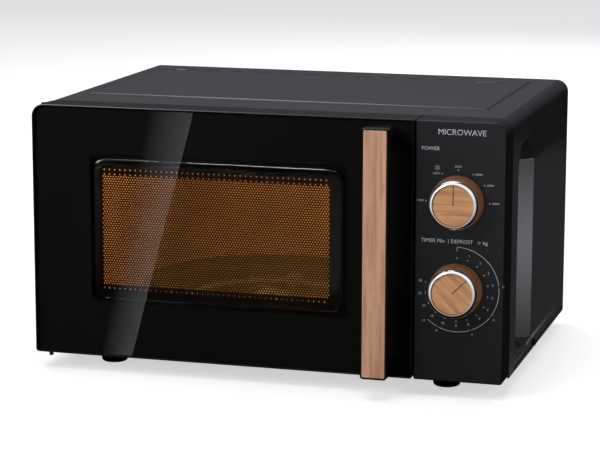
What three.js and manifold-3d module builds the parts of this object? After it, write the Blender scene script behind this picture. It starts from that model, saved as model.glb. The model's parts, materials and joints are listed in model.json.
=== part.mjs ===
// Countertop microwave oven: side-hinged door with a bar handle, two rotary controls, a glass turntable
// on a roller ring, and the magnetron, transformer, fan and interlocks behind the control panel.
// Millimetres. +X is to the right of someone facing the door, +Y towards the back, +Z up.
// The origin is on the surface that the oven stands on, under the middle of its overall box.
import * as THREE from "three";
import { mergeVertices } from "three/addons/utils/BufferGeometryUtils.js";
import Module from "manifold-3d";

const wasm = await Module();
wasm.setup();

// ---------------------------------------------------------------- driving dimensions
const fasciaWidth = 455; // door and control panel together
const fasciaHeight = 240;
const fasciaDepth = 33; // front face to the steel front frame
const caseDepth = 332; // front face to the cover's back edge
const panelWidth = 83;
const doorGap = 1.5; // between door and control panel
const footHeight = 14;
const fasciaLift = 2; // cabinet's bottom edge to the fascia's
const fasciaRadius = 12; // top corners
const smallRadius = 3; // bottom corners
const handleProud = 36; // front face to the handle's front
const bushingProud = 7; // back edge to the cord bushing's end
const sheet = 0.8; // cover and liner
const plate = 1; // front frame, base and rear panel
const touch = 0.3; // gap kept between pieces that meet

// Cavity walls, measured in from the fascia's edges
const cavitySideGap = 28;
const latchStrip = 36.5; // front frame between the cavity opening and the door's right edge
const cavityFloorGap = 20;
const cavityCeilingGap = 18;
const cavityRearGap = 14;

// ---------------------------------------------------------------- planes worked out from them
const left = -fasciaWidth / 2;
const right = fasciaWidth / 2;
const front = (handleProud - caseDepth - bushingProud) / 2;
const frameFront = front + fasciaDepth + touch;
const frameBack = frameFront + plate;
const back = front + caseDepth;
const caseBottom = footHeight;
const fasciaBottom = caseBottom + fasciaLift;
const fasciaTop = fasciaBottom + fasciaHeight;
const coverInset = 0.5; // the cover is this much smaller than the fascia
const coverTop = fasciaTop - coverInset;
const coverFront = frameBack + touch;
const coverHalf = fasciaWidth / 2 - coverInset;
const doorRight = right - panelWidth - doorGap;
const cavityLeft = left + cavitySideGap;
const cavityRight = doorRight - latchStrip;
const cavityFloor = fasciaBottom + cavityFloorGap;
const cavityTop = fasciaTop - cavityCeilingGap;
const cavityBack = back - cavityRearGap;
const turntableX = (cavityLeft + cavityRight) / 2;
const turntableY = (frameBack + cavityBack) / 2;
const bayLeft = cavityRight + sheet + touch; // component bay between liner and cover
const bayRight = coverHalf - sheet - touch;
const baseTop = caseBottom + plate + touch;

// ---------------------------------------------------------------- materials
const finish = (color, roughness, metalness = 0, more = {}) =>
  new THREE.MeshStandardMaterial({ color, roughness, metalness, ...more });
const coverPaint = finish(0x1b1c1f, 0.42, 0.2);
const chassisSteel = finish(0xa9abad, 0.4, 0.9);
const framePaint = finish(0x17181a, 0.45, 0.2);
const linerPaint = finish(0x8f8f8c, 0.5, 0.2);
const fasciaPlastic = finish(0x1c1c20, 0.45);
const doorPlastic = finish(0x0d0d0f, 0.3);
const doorGlassFinish = finish(0x050506, 0.05, 0, { transparent: true, opacity: 0.45 });
const screenPaint = finish(0x0a0a0a, 0.35, 0.3);
const woodLook = finish(0xb9784f, 0.5);
const chrome = finish(0xe4e4ea, 0.12, 1);
const rubber = finish(0x101010, 0.8);
const pinSteel = finish(0x9a9c9f, 0.35, 0.95);
const copper = finish(0x8d4a26, 0.45, 0.7);
const castSteel = finish(0x55585c, 0.6, 0.7);
const whitePlastic = finish(0xdcdad2, 0.5);
const blackPlastic = finish(0x18181a, 0.55);
const redPlastic = finish(0x8c2a22, 0.5);
const clearGlass = finish(0xcfdcd8, 0.05, 0, { transparent: true, opacity: 0.4 });
const mica = finish(0xb8a98a, 0.6);

// ---------------------------------------------------------------- solids
// A closed three.js geometry as a solid that can be cut and joined.
function solid(geometry) {
  const plain = geometry.index ? geometry.toNonIndexed() : geometry.clone();
  plain.deleteAttribute("normal");
  plain.deleteAttribute("uv");
  const merged = mergeVertices(plain, 1e-4);
  return new wasm.Manifold(
    new wasm.Mesh({
      numProp: 3,
      vertProperties: merged.attributes.position.array,
      triVerts: new Uint32Array(merged.index.array),
    }),
  );
}

function geometryOf(body) {
  const mesh = body.getMesh();
  const geometry = new THREE.BufferGeometry();
  geometry.setAttribute("position", new THREE.BufferAttribute(mesh.vertProperties, 3));
  geometry.setIndex(new THREE.BufferAttribute(mesh.triVerts, 1));
  geometry.computeVertexNormals();
  return geometry;
}

const join = (...bodies) => bodies.reduce((all, next) => all.add(next));
const cut = (body, ...tools) => tools.reduce((rest, tool) => rest.subtract(tool), body);

function box(x0, x1, y0, y1, z0, z1) {
  const block = new THREE.BoxGeometry(x1 - x0, y1 - y0, z1 - z0);
  return solid(block.translate((x0 + x1) / 2, (y0 + y1) / 2, (z0 + z1) / 2));
}

// Turns a shape's own plane and its extrusion into two row axes and the third.
const frames = {
  x: new THREE.Matrix4().makeBasis(
    new THREE.Vector3(0, 1, 0), new THREE.Vector3(0, 0, 1), new THREE.Vector3(1, 0, 0)),
  y: new THREE.Matrix4().makeBasis(
    new THREE.Vector3(1, 0, 0), new THREE.Vector3(0, 0, 1), new THREE.Vector3(0, -1, 0)),
  z: new THREE.Matrix4(),
};

// A shape drawn in the other two axes (y,z or x,z or x,y) and run along one from a to b.
function prism(axis, shape, a, b, arcSteps = 5) {
  const run = new THREE.ExtrudeGeometry(shape, { depth: b - a, bevelEnabled: false, curveSegments: arcSteps });
  run.translate(0, 0, axis === "y" ? -b : a);
  return solid(run.applyMatrix4(frames[axis]));
}

function outline(points) {
  return new THREE.Shape(points.map(([u, v]) => new THREE.Vector2(u, v)));
}

// A rectangle with its own radius at each corner.
function rounded(u0, u1, v0, v1, { tl = 0, tr = 0, bl = 0, br = 0 }) {
  const shape = new THREE.Shape();
  const corner = (u, v, radius, from) => {
    if (radius > 0) shape.absarc(u, v, radius, from, from + Math.PI / 2, false);
    else shape.lineTo(u, v);
  };
  shape.moveTo(u0 + bl, v0);
  shape.lineTo(u1 - br, v0);
  corner(u1 - br, v0 + br, br, -Math.PI / 2);
  shape.lineTo(u1, v1 - tr);
  corner(u1 - tr, v1 - tr, tr, 0);
  shape.lineTo(u0 + tl, v1);
  corner(u0 + tl, v1 - tl, tl, Math.PI / 2);
  shape.lineTo(u0, v0 + bl);
  if (bl > 0) shape.absarc(u0 + bl, v0 + bl, bl, Math.PI, 1.5 * Math.PI, false);
  return shape;
}

const evenly = (radius) => ({ tl: radius, tr: radius, bl: radius, br: radius });

// A profile of [radius, height] points turned about an axis through a point. It runs anticlockwise.
function turned(axis, profile, [x, y, z], steps = 20) {
  const area = profile.reduce((sum, [r, h], i) => {
    const [nextR, nextH] = profile[(i + 1) % profile.length];
    return sum + r * nextH - nextR * h;
  }, 0);
  const ordered = area > 0 ? profile : [...profile].reverse();
  const open = ordered[0][0] === 0 && ordered.at(-1)[0] === 0;
  const points = (open ? ordered : [...ordered, ordered[0]]).map(([r, h]) => new THREE.Vector2(r, h));
  const body = new THREE.LatheGeometry(points, steps);
  if (axis === "z") body.rotateX(Math.PI / 2);
  if (axis === "x") body.rotateZ(-Math.PI / 2);
  return solid(body.translate(x, y, z));
}

function rod(axis, radius, a, b, centre, steps = 16) {
  return turned(axis, [[0, a], [radius, a], [radius, b], [0, b]], centre, steps);
}

const part = new THREE.Group();
part.name = "microwave_oven";

function place(name, body, material, group = part) {
  const mesh = new THREE.Mesh(body.isBufferGeometry ? body : geometryOf(body), material);
  mesh.name = name;
  group.add(mesh);
  return mesh;
}

// Rises from 0 at a to 1 at b, stays 1 to c, and falls to 0 at d.
function plateau(value, [a, b, c, d]) {
  if (value <= a || value >= d) return 0;
  if (value < b) return (value - a) / (b - a);
  return value > c ? (d - value) / (d - c) : 1;
}

// ---------------------------------------------------------------- cover
const scoopDepth = 12; // side recess behind the front edge
const sideSwell = 2.5; // raised pad behind it
const scoop = [31, 49, 82, 97]; // from the front face less fasciaDepth: lip, floor, floor end, riser top
const padEnds = [24, 32]; // pad's end and its ramp's foot, before the back edge
const padLow = [9, 17]; // above the fascia's bottom: ramp's foot, then the pad
const padHigh = [51, 27]; // below the fascia's top: pad's end, then the ramp's foot
const topPad = { rise: 1.5, side: 20, frontEdge: 53, rearEdge: 29, ramp: 4 };
const ventSlot = { count: 12, length: 16, width: 2.2, pitch: 27, fromBack: 46 };

// Stand-out of a side wall at a depth and height.
function sideRelief(y, z) {
  const at = (offset) => front + fasciaDepth + offset;
  const upright = plateau(z, [
    fasciaBottom + padLow[0], fasciaBottom + padLow[1], fasciaTop - padHigh[0], fasciaTop - padHigh[1]]);
  const hollow = -scoopDepth * plateau(y, scoop.map(at));
  const raised = sideSwell * plateau(y, [at(scoop[2]), at(scoop[3]), back - padEnds[1], back - padEnds[0]]);
  return upright * (hollow + raised);
}
const topPadX = [-coverHalf + topPad.side, -coverHalf + topPad.side + topPad.ramp,
  coverHalf - topPad.side - topPad.ramp - fasciaRadius, coverHalf - topPad.side - fasciaRadius];
const topPadY = [front + fasciaDepth + topPad.frontEdge, front + fasciaDepth + topPad.frontEdge + topPad.ramp,
  back - topPad.rearEdge - topPad.ramp, back - topPad.rearEdge];

// Stations round the cover's section, from the left foot over the top to the right foot.
function coverSection() {
  const radius = fasciaRadius;
  const heights = [caseBottom, fasciaBottom + padLow[0], fasciaBottom + padLow[1], fasciaTop - padHigh[0], fasciaTop - padHigh[1]];
  const bend = [0, 1, 2, 3, 4].map((i) => (i * Math.PI) / 8);
  const leftSide = heights.map((z) => ({ x: -coverHalf, z, nx: -1, nz: 0, side: true }));
  const leftBend = bend.map((a) => ({
    x: -coverHalf + radius * (1 - Math.cos(a)), z: coverTop - radius * (1 - Math.sin(a)),
    nx: -Math.cos(a), nz: Math.sin(a) }));
  const top = topPadX.map((x) => ({ x, z: coverTop, nx: 0, nz: 1, top: true }));
  const mirror = (s) => ({ ...s, x: -s.x, nx: -s.nx });
  return [...leftSide, ...leftBend, ...top, ...leftBend.map(mirror).reverse(), ...leftSide.map(mirror).reverse()];
}

function coverStations() {
  const at = (offset) => front + fasciaDepth + offset;
  const all = [coverFront, ...scoop.map(at), ...topPadY, back - padEnds[1], back - padEnds[0], back];
  return [...new Set(all)].sort((a, b) => a - b);
}

// A bent sheet as one closed mesh: outer points, the same points moved in, and the four edges.
function bentSheet(rows, inward, thickness) {
  const outer = rows.flat();
  const inner = outer.map((p, i) => p.clone().addScaledVector(inward.flat()[i], thickness));
  const points = [...outer, ...inner];
  const wide = rows[0].length;
  const faces = [];
  const quad = (a, b, c, d) => faces.push(c, b, a, d, c, a);
  for (let i = 0; i < rows.length - 1; i++) {
    for (let j = 0; j < wide - 1; j++) {
      const [a, b, c, d] = [i * wide + j, (i + 1) * wide + j, (i + 1) * wide + j + 1, i * wide + j + 1];
      quad(a, b, c, d);
      quad(...[d, c, b, a].map((v) => v + outer.length));
    }
  }
  const rim = [];
  for (let j = 0; j < wide - 1; j++) rim.push(j);
  for (let i = 0; i < rows.length - 1; i++) rim.push(i * wide + wide - 1);
  for (let j = wide - 1; j > 0; j--) rim.push((rows.length - 1) * wide + j);
  for (let i = rows.length - 1; i > 0; i--) rim.push(i * wide);
  rim.forEach((a, k) => {
    const b = rim[(k + 1) % rim.length];
    quad(a, b, b + outer.length, a + outer.length);
  });
  const geometry = new THREE.BufferGeometry().setFromPoints(points);
  geometry.setIndex(faces);
  return solid(geometry);
}

function cabinetCover() {
  const stations = coverSection();
  const rows = coverStations().map((y) => stations.map((s) => {
    const relief = s.side ? sideRelief(y, s.z) : 0;
    const rise = s.top ? topPad.rise * plateau(s.x, topPadX) * plateau(y, topPadY) : 0;
    return new THREE.Vector3(s.x + s.nx * relief, y, s.z + s.nz * relief + rise);
  }));
  const inward = rows.map(() => stations.map((s) => new THREE.Vector3(-s.nx, 0, -s.nz)));
  const shell = bentSheet(rows, inward, sheet);
  const first = turntableX - ((ventSlot.count - 1) * ventSlot.pitch) / 2;
  const vents = Array.from({ length: ventSlot.count }, (_, i) => {
    const x = first + i * ventSlot.pitch;
    const y = back - ventSlot.fromBack;
    const run = ventSlot.length / 2;
    return box(x - run, x + run, y, y + ventSlot.width, coverTop - 5, coverTop + 5);
  });
  const screwHoles = [-1, 1].map((side) => rod("x", screwHole, -5, 5, [side * coverHalf, sideScrewY, sideScrewZ], 10));
  return cut(shell, ...vents, ...screwHoles);
}

// ---------------------------------------------------------------- side screws
const screwHole = 2.4;
const sideScrewY = front + 166;
const sideScrewZ = caseBottom + 4.4;
const screwHead = { radius: 3.6, thickness: 1.6, shank: 1.9, length: 7 };

// A pan-head screw along X, with its head outside the cover.
function sideScrew(side) {
  const face = coverHalf + touch;
  const profile = [[0, -screwHead.length], [screwHead.shank, -screwHead.length], [screwHead.shank, 0],
    [screwHead.radius, 0], [screwHead.radius * 0.9, screwHead.thickness * 0.7], [0, screwHead.thickness]];
  const screw = turned("x", profile, [0, 0, 0], 10);
  const slot = box(screwHead.thickness * 0.5, screwHead.thickness * 2, -0.5, 0.5, -5, 5);
  const body = cut(screw, slot).rotate([0, 0, side < 0 ? 180 : 0]);
  return body.translate([side * face, sideScrewY, sideScrewZ]);
}

// ---------------------------------------------------------------- chassis
const footInset = { side: 62, front: 50, back: 40 };
const foot = { radius: 13, top: 11, spigot: 3.2, spigotRise: 3 };
const footPlaces = {
  foot_front_left: [left + footInset.side, front + footInset.front],
  foot_front_right: [right - footInset.side, front + footInset.front],
  foot_rear_left: [left + footInset.side, back - footInset.back],
  foot_rear_right: [right - footInset.side, back - footInset.back],
};
const flange = 10; // turned-up edges of the base plate
const baseFront = frameBack + 3; // clear of the hinge plates' tabs
const baseHalf = coverHalf - sheet - touch;

function basePlate() {
  const floor = box(-baseHalf, baseHalf, baseFront, back - plate - 2 * touch, caseBottom, caseBottom + plate);
  const lips = [-1, 1].map((side) => {
    const edge = side * baseHalf;
    const inner = edge - side * plate;
    return box(Math.min(edge, inner), Math.max(edge, inner), baseFront, back - plate - 2 * touch,
      caseBottom, caseBottom + flange);
  });
  const footHoles = Object.values(footPlaces).map(([x, y]) =>
    rod("z", foot.spigot + touch, -5, 5, [x, y, caseBottom], 12));
  const slots = Array.from({ length: 5 }, (_, i) => {
    const y = front + 120 + i * 12;
    return box(bayLeft + 18, bayLeft + 62, y, y + 3, caseBottom - 1, caseBottom + plate + 1);
  });
  const screwClearance = [-1, 1].map((side) =>
    rod("x", screwHole, -10, 10, [side * baseHalf, sideScrewY, sideScrewZ], 10));
  return cut(join(floor, ...lips), ...footHoles, ...slots, ...screwClearance);
}

function footAt([x, y]) {
  const profile = [[0, 0], [foot.top, 0], [foot.radius, 2], [foot.radius, footHeight - touch],
    [foot.spigot, footHeight - touch], [foot.spigot, footHeight + plate + foot.spigotRise],
    [0, footHeight + plate + foot.spigotRise]];
  return turned("z", profile, [x, y, 0], 16);
}

const bushing = { x: right - 40, z: caseBottom + 30, bore: 4, body: 7, flange: 10 };
const rearFace = back - touch;

function rearPanel() {
  const half = baseHalf;
  const low = caseBottom + plate + touch;
  const high = coverTop - sheet - touch;
  const shape = rounded(-half, half, low, high, { tl: fasciaRadius - sheet, tr: fasciaRadius - sheet });
  const wall = prism("y", shape, rearFace - plate, rearFace);
  const slots = [];
  for (let row = 0; row < 7; row++) {
    const z = fan.z - 33 + row * 11;
    slots.push(box(fan.x - 34, fan.x - 3, rearFace - 3, rearFace + 1, z - 1.6, z + 1.6));
    slots.push(box(fan.x + 3, fan.x + 34, rearFace - 3, rearFace + 1, z - 1.6, z + 1.6));
  }
  for (let i = 0; i < 6; i++) {
    const x = cavityLeft + 40 + i * 20;
    slots.push(box(x, x + 5, rearFace - 3, rearFace + 1, cavityTop - 34, cavityTop - 12));
  }
  const inlet = rod("y", bushing.body + touch, -5, 5, [bushing.x, rearFace, bushing.z]);
  return cut(wall, inlet, ...slots);
}

// A strain-relief bushing that clips in the rear panel. Its bore takes the mains lead.
function cordBushing() {
  const inside = rearFace - plate - touch;
  const outside = rearFace + touch;
  const tip = back + bushingProud;
  const profile = [
    [bushing.bore, inside - 6], [bushing.flange - 1, inside - 6], [bushing.flange - 1, inside],
    [bushing.body, inside], [bushing.body, outside], [bushing.flange, outside],
    [bushing.flange, outside + 2.5], [bushing.bore + 2, tip], [bushing.bore, tip]];
  return turned("y", profile, [bushing.x, 0, bushing.z], 16);
}

// Slots in the front frame where the door's hooks and the upper hinge plate go through.
const hook = { x: doorRight - 16, thick: 4, high: 10, margin: 58, travel: 4 };
const hookHeights = [fasciaBottom + hook.margin, fasciaTop - hook.margin];
const hinge = { x: left + 9, y: front + 17, plate: 1.6, half: 6, pin: 2.5, running: 0.2, peg: 5 };
const upperHingeZ = fasciaTop - 14;
const lowerHingeZ = fasciaBottom - touch - hinge.plate;

function frontFrame() {
  const shape = rounded(-coverHalf, coverHalf, fasciaBottom, coverTop,
    { tl: fasciaRadius, tr: fasciaRadius, bl: smallRadius, br: smallRadius });
  const wall = prism("y", shape, frameFront, frameBack);
  const through = (x0, x1, z0, z1) => box(x0, x1, frameFront - 1, frameBack + 1, z0, z1);
  const opening = through(cavityLeft, cavityRight, cavityFloor, cavityTop);
  const bayOpening = through(doorRight + 9, right - 10, fasciaBottom + 14, fasciaTop - 16);
  const hookSlots = hookHeights.map((z) =>
    through(hook.x - hook.thick / 2 - 3, hook.x + hook.thick / 2 + 3,
      z - hook.high / 2 - 4, z + hook.high / 2 + hook.travel + 3));
  const hingeSlot = through(hinge.x - hinge.half - 1, hinge.x + hinge.half + 1,
    upperHingeZ - touch, upperHingeZ + hinge.plate + touch);
  return cut(wall, opening, bayOpening, ...hookSlots, hingeSlot);
}

// Flat plate that holds a vertical pin in front of the frame, with a tab behind the frame.
function hingePlate(z, tabUp, peg) {
  const arm = prism("z", rounded(hinge.x - hinge.half, hinge.x + hinge.half, hinge.y - hinge.half,
    frameBack + touch + hinge.plate, { bl: 5, br: 5 }), z, z + hinge.plate, 4);
  const tabBottom = tabUp ? z : z - 22;
  const tab = box(hinge.x - hinge.half, hinge.x + hinge.half, frameBack + touch,
    frameBack + touch + hinge.plate, tabBottom, tabBottom + 22 + (tabUp ? 0 : hinge.plate));
  const pinTop = z + hinge.plate + 9;
  const pin = rod("z", hinge.pin, z + hinge.plate / 2, pinTop, [hinge.x, hinge.y, 0]);
  const below = peg ? [rod("z", hinge.pin * 0.8, z - hinge.peg, z + hinge.plate / 2, [hinge.x, hinge.y, 0])] : [];
  return join(arm, tab, pin, ...below);
}

// ---------------------------------------------------------------- cavity
const couplerHole = 10;
const portal = { y: turntableY + 10, halfDepth: 46, z: cavityTop - 62, halfHeight: 30 };
const lampHoles = { y: frameBack + 55, z: cavityTop - 38, pitch: 9, radius: 2.2, across: 3 };

function cavityLiner() {
  const shell = box(cavityLeft - sheet, cavityRight + sheet, frameBack + touch, cavityBack + sheet,
    cavityFloor - sheet, cavityTop + sheet);
  const room = box(cavityLeft, cavityRight, frameBack - 5, cavityBack, cavityFloor, cavityTop);
  const shaftHole = rod("z", couplerHole, -5, 5, [turntableX, turntableY, cavityFloor], 20);
  const feed = box(cavityRight - 1, cavityRight + 5, portal.y - portal.halfDepth + 6,
    portal.y + portal.halfDepth - 6, portal.z - portal.halfHeight + 6, portal.z + portal.halfHeight - 6);
  const lampGrid = [];
  for (let i = 0; i < lampHoles.across; i++) {
    for (let k = 0; k < lampHoles.across; k++) {
      lampGrid.push(rod("x", lampHoles.radius, -3, 3,
        [cavityRight, lampHoles.y + i * lampHoles.pitch, lampHoles.z + k * lampHoles.pitch], 6));
    }
  }
  return cut(shell, room, shaftHole, feed, ...lampGrid);
}

// Sheet-steel duct that carries the microwaves from the magnetron to the cavity wall.
const guide = { wide: 30, pastAntenna: 18 };

function waveguide() {
  const x0 = bayLeft;
  const x1 = bayLeft + guide.wide;
  const z0 = portal.z - portal.halfHeight;
  const z1 = portal.z + portal.halfHeight;
  const y0 = portal.y - portal.halfDepth;
  const y1 = Math.max(portal.y + portal.halfDepth, antenna.y + guide.pastAntenna);
  const duct = box(x0, x1, y0, y1, z0, z1);
  const hollow = box(x0 - 1, x1 - plate, y0 + plate, y1 - plate, z0 + plate, z1 - plate);
  const port = rod("x", antenna.radius + 3, -4, 4, [x1, antenna.y, antenna.z]);
  return cut(duct, hollow, port);
}

const cover = { thick: 0.5, margin: 2 };
function waveguideCover() {
  return box(cavityRight - touch - cover.thick, cavityRight - touch,
    portal.y - portal.halfDepth - cover.margin, portal.y + portal.halfDepth + cover.margin,
    portal.z - portal.halfHeight - cover.margin, portal.z + portal.halfHeight + cover.margin);
}

// ---------------------------------------------------------------- turntable
const roller = { radius: 7.5, width: 7, track: 88, bore: 2.3, axle: 1.9 };
const rollerRing = { inner: 77, outer: 82, thick: 4 };
const plateThick = 5;
const plateRadius = Math.min(cavityRight - cavityLeft, cavityBack - frameBack) / 2 - 15;
const plateUnder = cavityFloor + touch + 2 * roller.radius + touch;
const lobe = { length: 20, wide: 8, thick: 4.5 };

function turntablePlate() {
  const base = plateUnder;
  const profile = [[0, base], [plateRadius - 18, base], [plateRadius, base + 7], [plateRadius, base + 10],
    [plateRadius - 3, base + 10], [plateRadius - 20, base + plateThick], [0, base + plateThick]];
  const dish = turned("z", profile, [turntableX, turntableY, 0], 36);
  const lugs = [60, 180, 300].map((angle) =>
    box(10, 17, -3, 3, base - 3, base + 1).rotate([0, 0, angle]).translate([turntableX, turntableY, 0]));
  return join(dish, ...lugs);
}

function turntableCoupler() {
  const top = plateUnder - touch;
  const stem = turned("z", [[0, baseTop + motor.high + touch], [4, baseTop + motor.high + touch],
    [4, cavityFloor - 2], [8, cavityFloor - 2], [8, top], [0, top]], [turntableX, turntableY, 0], 18);
  const lobes = [0, 120, 240].map((angle) =>
    box(0, lobe.length, -lobe.wide / 2, lobe.wide / 2, top - lobe.thick, top)
      .rotate([0, 0, angle]).translate([turntableX, turntableY, 0]));
  return join(stem, ...lobes);
}

const axleHeight = cavityFloor + touch + roller.radius;
const rollerAngles = [90, 210, 330];

function rollerRingBody() {
  const low = axleHeight - rollerRing.thick / 2;
  const high = axleHeight + rollerRing.thick / 2;
  const band = turned("z", [[rollerRing.inner, low], [rollerRing.outer, low],
    [rollerRing.outer, high], [rollerRing.inner, high]], [0, 0, 0], 28);
  const stubs = rollerAngles.map((angle) =>
    rod("x", roller.axle, rollerRing.outer - 1, roller.track + roller.width / 2 + 2, [0, 0, axleHeight], 10)
      .rotate([0, 0, angle]));
  return join(band, ...stubs).translate([turntableX, turntableY, 0]);
}

function rollerAt(angle) {
  const half = roller.width / 2;
  const profile = [[roller.bore, -half], [roller.radius, -half], [roller.radius, half], [roller.bore, half]];
  return turned("x", profile, [roller.track, 0, axleHeight], 18)
    .rotate([0, 0, angle]).translate([turntableX, turntableY, 0]);
}

const motor = { radius: 24.5, high: 13 };
function turntableMotor() {
  const can = rod("z", motor.radius, baseTop, baseTop + motor.high, [turntableX, turntableY, 0], 24);
  const ears = box(turntableX - 32, turntableX + 32, turntableY - 5, turntableY + 5,
    baseTop + motor.high - 2, baseTop + motor.high);
  return join(can, ears);
}

// ---------------------------------------------------------------- door
const doorBack = front + 31.5; // frame's back edge
const doorBottom = fasciaBottom;
const rimWall = 2.4;
const glass = { inset: 1.6, recess: 0.4, thick: 3 };
const hingeRound = 8; // back left corner, so that it clears the frame as the door turns
const web = { front: glass.recess + glass.thick + touch, thick: 2 };
const windowMargin = { left: 60, right: 68, bottom: 57, top: 51.5 }; // stamped pocket from the door's edges
const pocket = { front: 6, deep: 12, slope: 6, radius: 12, thick: 1 };
const pan = { left: 18, right: 24, edge: 10, back: 25.7 };
const choke = { front: 26, thick: 2.5, opening: 8 };

const doorOutline = (inset) =>
  rounded(left + inset, doorRight - inset, doorBottom + inset, fasciaTop - inset, {
    tl: Math.max(fasciaRadius - inset, 1), tr: Math.max(2 - inset, 0),
    bl: Math.max(smallRadius - inset, 0.5), br: Math.max(2 - inset, 0) });
const doorPlan = (inset) =>
  rounded(left + inset, doorRight - inset, front - 1, doorBack, { tl: hingeRound - inset });
const windowOutline = (shrink) =>
  rounded(left + windowMargin.left + shrink, doorRight - windowMargin.right - shrink,
    doorBottom + windowMargin.bottom + shrink, fasciaTop - windowMargin.top - shrink,
    evenly(Math.max(pocket.radius - shrink, 2)));
const spring = { radius: 3.2, wire: 0.55, turns: 6, long: 24 };
const latchBottom = hookHeights[0] - 14;

function doorFrame() {
  const whole = prism("y", doorOutline(0), front, doorBack).intersect(
    prism("z", doorPlan(0), doorBottom - 1, fasciaTop + 1));
  const hollow = prism("y", doorOutline(rimWall), front + web.front + web.thick, doorBack + 5).intersect(
    prism("z", rounded(left + rimWall, doorRight - rimWall, front, doorBack + 6,
      { tl: hingeRound - rimWall }).clone(), doorBottom - 1, fasciaTop + 1));
  const openBack = box(left + hingeRound, doorRight - rimWall, front + web.front + web.thick, doorBack + 5,
    doorBottom + rimWall, fasciaTop - rimWall).intersect(
    prism("y", doorOutline(rimWall), front, doorBack + 5));
  const glassSeat = prism("y", doorOutline(glass.inset), front - 1, front + web.front);
  const opening = prism("y", windowOutline(-3), front, front + 12);
  const bosses = [[upperHingeZ + hinge.plate + touch, fasciaTop - 1], [doorBottom + 0.5, doorBottom + 12]].map(
    ([low, high]) => rod("z", hinge.pin + 3, low, high, [hinge.x, hinge.y, 0]));
  const sweep = box(left - 1, hinge.x + hinge.half + 3, front + web.front + web.thick, doorBack + 1,
    upperHingeZ - 1, upperHingeZ + hinge.plate + touch);
  const bores = [[upperHingeZ, fasciaTop - 3], [doorBottom - 1, doorBottom + 11]].map(([low, high]) =>
    rod("z", hinge.pin + hinge.running, low, high, [hinge.x, hinge.y, 0]));
  const shelfZ = latchBottom - spring.long - 2 * touch;
  const springShelf = box(hook.x - 6, doorRight - 1, front + web.front + 1, front + 18, shelfZ - 2, shelfZ);
  const spigotHoles = handlePosts.map((z) =>
    rod("y", handle.spigot + touch, 0, 20, [handleX, front, z], 12));
  const body = cut(whole, hollow, openBack, glassSeat, opening);
  return cut(join(body, ...bosses, springShelf), sweep, ...bores, ...spigotHoles);
}

const handle = { wide: 25, deep: 11, low: 6, high: 4, radius: 3, post: 18, postHigh: 13, spigot: 3.5 };
const handleX = doorRight - 27.3;
const handleBottom = doorBottom + handle.low;
const handleTop = fasciaTop - handle.high;
const handlePosts = [handleBottom + handle.postHigh / 2 + 2, handleTop - handle.postHigh / 2 - 2];
const inlay = { edge: 1.5, thick: 2.2 };

function doorGlass() {
  const pane = prism("y", doorOutline(glass.inset + touch), front + glass.recess, front + glass.recess + glass.thick);
  const holes = handlePosts.map((z) => rod("y", handle.spigot + touch, 0, 20, [handleX, front - 5, z], 12));
  return cut(pane, ...holes);
}

function handleBar() {
  const nose = front - handleProud;
  const bar = prism("y", rounded(handleX - handle.wide / 2, handleX + handle.wide / 2, handleBottom, handleTop,
    evenly(handle.radius)), nose, nose + handle.deep, 4);
  const seat = box(handleX - handle.wide / 2 + inlay.edge, handleX + handle.wide / 2 - inlay.edge,
    nose - 1, nose + inlay.thick + touch, handleBottom + inlay.edge, handleTop - inlay.edge);
  const posts = handlePosts.flatMap((z) => [
    box(handleX - handle.post / 2, handleX + handle.post / 2, nose + handle.deep - 1,
      front + glass.recess - touch, z - handle.postHigh / 2, z + handle.postHigh / 2),
    rod("y", handle.spigot, front - 2, front + web.front + web.thick, [handleX, 0, z], 12)]);
  return cut(join(bar, ...posts), seat);
}

function handleInlay() {
  const nose = front - handleProud;
  const edge = inlay.edge + touch;
  return box(handleX - handle.wide / 2 + edge, handleX + handle.wide / 2 - edge,
    nose, nose + inlay.thick, handleBottom + edge, handleTop - edge);
}

// Stamped steel pan behind the glass. Its pocket's floor is the perforated window screen.
function doorScreen() {
  const face = front + pocket.front;
  const panShape = (inset) => rounded(left + pan.left + inset, doorRight - pan.right - inset,
    doorBottom + pan.edge + inset, fasciaTop - pan.edge - inset, evenly(4));
  const tray = cut(prism("y", panShape(0), face, front + pan.back),
    prism("y", panShape(pocket.thick), face + pocket.thick, front + pan.back + 1));
  const cup = prism("y", windowOutline(0), face, face + pocket.deep + pocket.thick);
  const hole = prism("y", windowOutline(pocket.thick), face - 1, face + pocket.deep);
  return cut(join(tray, cup), hole);
}

// Plastic ring that covers the choke channel round the pan, on the oven side.
function chokeCover() {
  const outer = rounded(left + hingeRound + touch, doorRight - rimWall - touch,
    doorBottom + rimWall + touch, fasciaTop - rimWall - touch, { tl: 4, tr: 1, bl: 2, br: 1 });
  const ring = prism("y", outer, front + choke.front, front + choke.front + choke.thick);
  const opening = prism("y", rounded(cavityLeft + choke.opening, cavityRight - choke.opening,
    cavityFloor + choke.opening, cavityTop - choke.opening, evenly(10)), front, doorBack);
  const slots = hookHeights.map((z) =>
    box(hook.x - hook.thick / 2 - 1.5, hook.x + hook.thick / 2 + 1.5, front + 20, doorBack,
      z - hook.high / 2 - 1, z + hook.high / 2 + hook.travel + 1));
  const hingeNotch = box(left, hinge.x + hinge.half + 6, front + 20, doorBack,
    upperHingeZ - 2, upperHingeZ + hinge.plate + 2);
  return cut(ring, opening, ...slots, hingeNotch);
}

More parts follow.
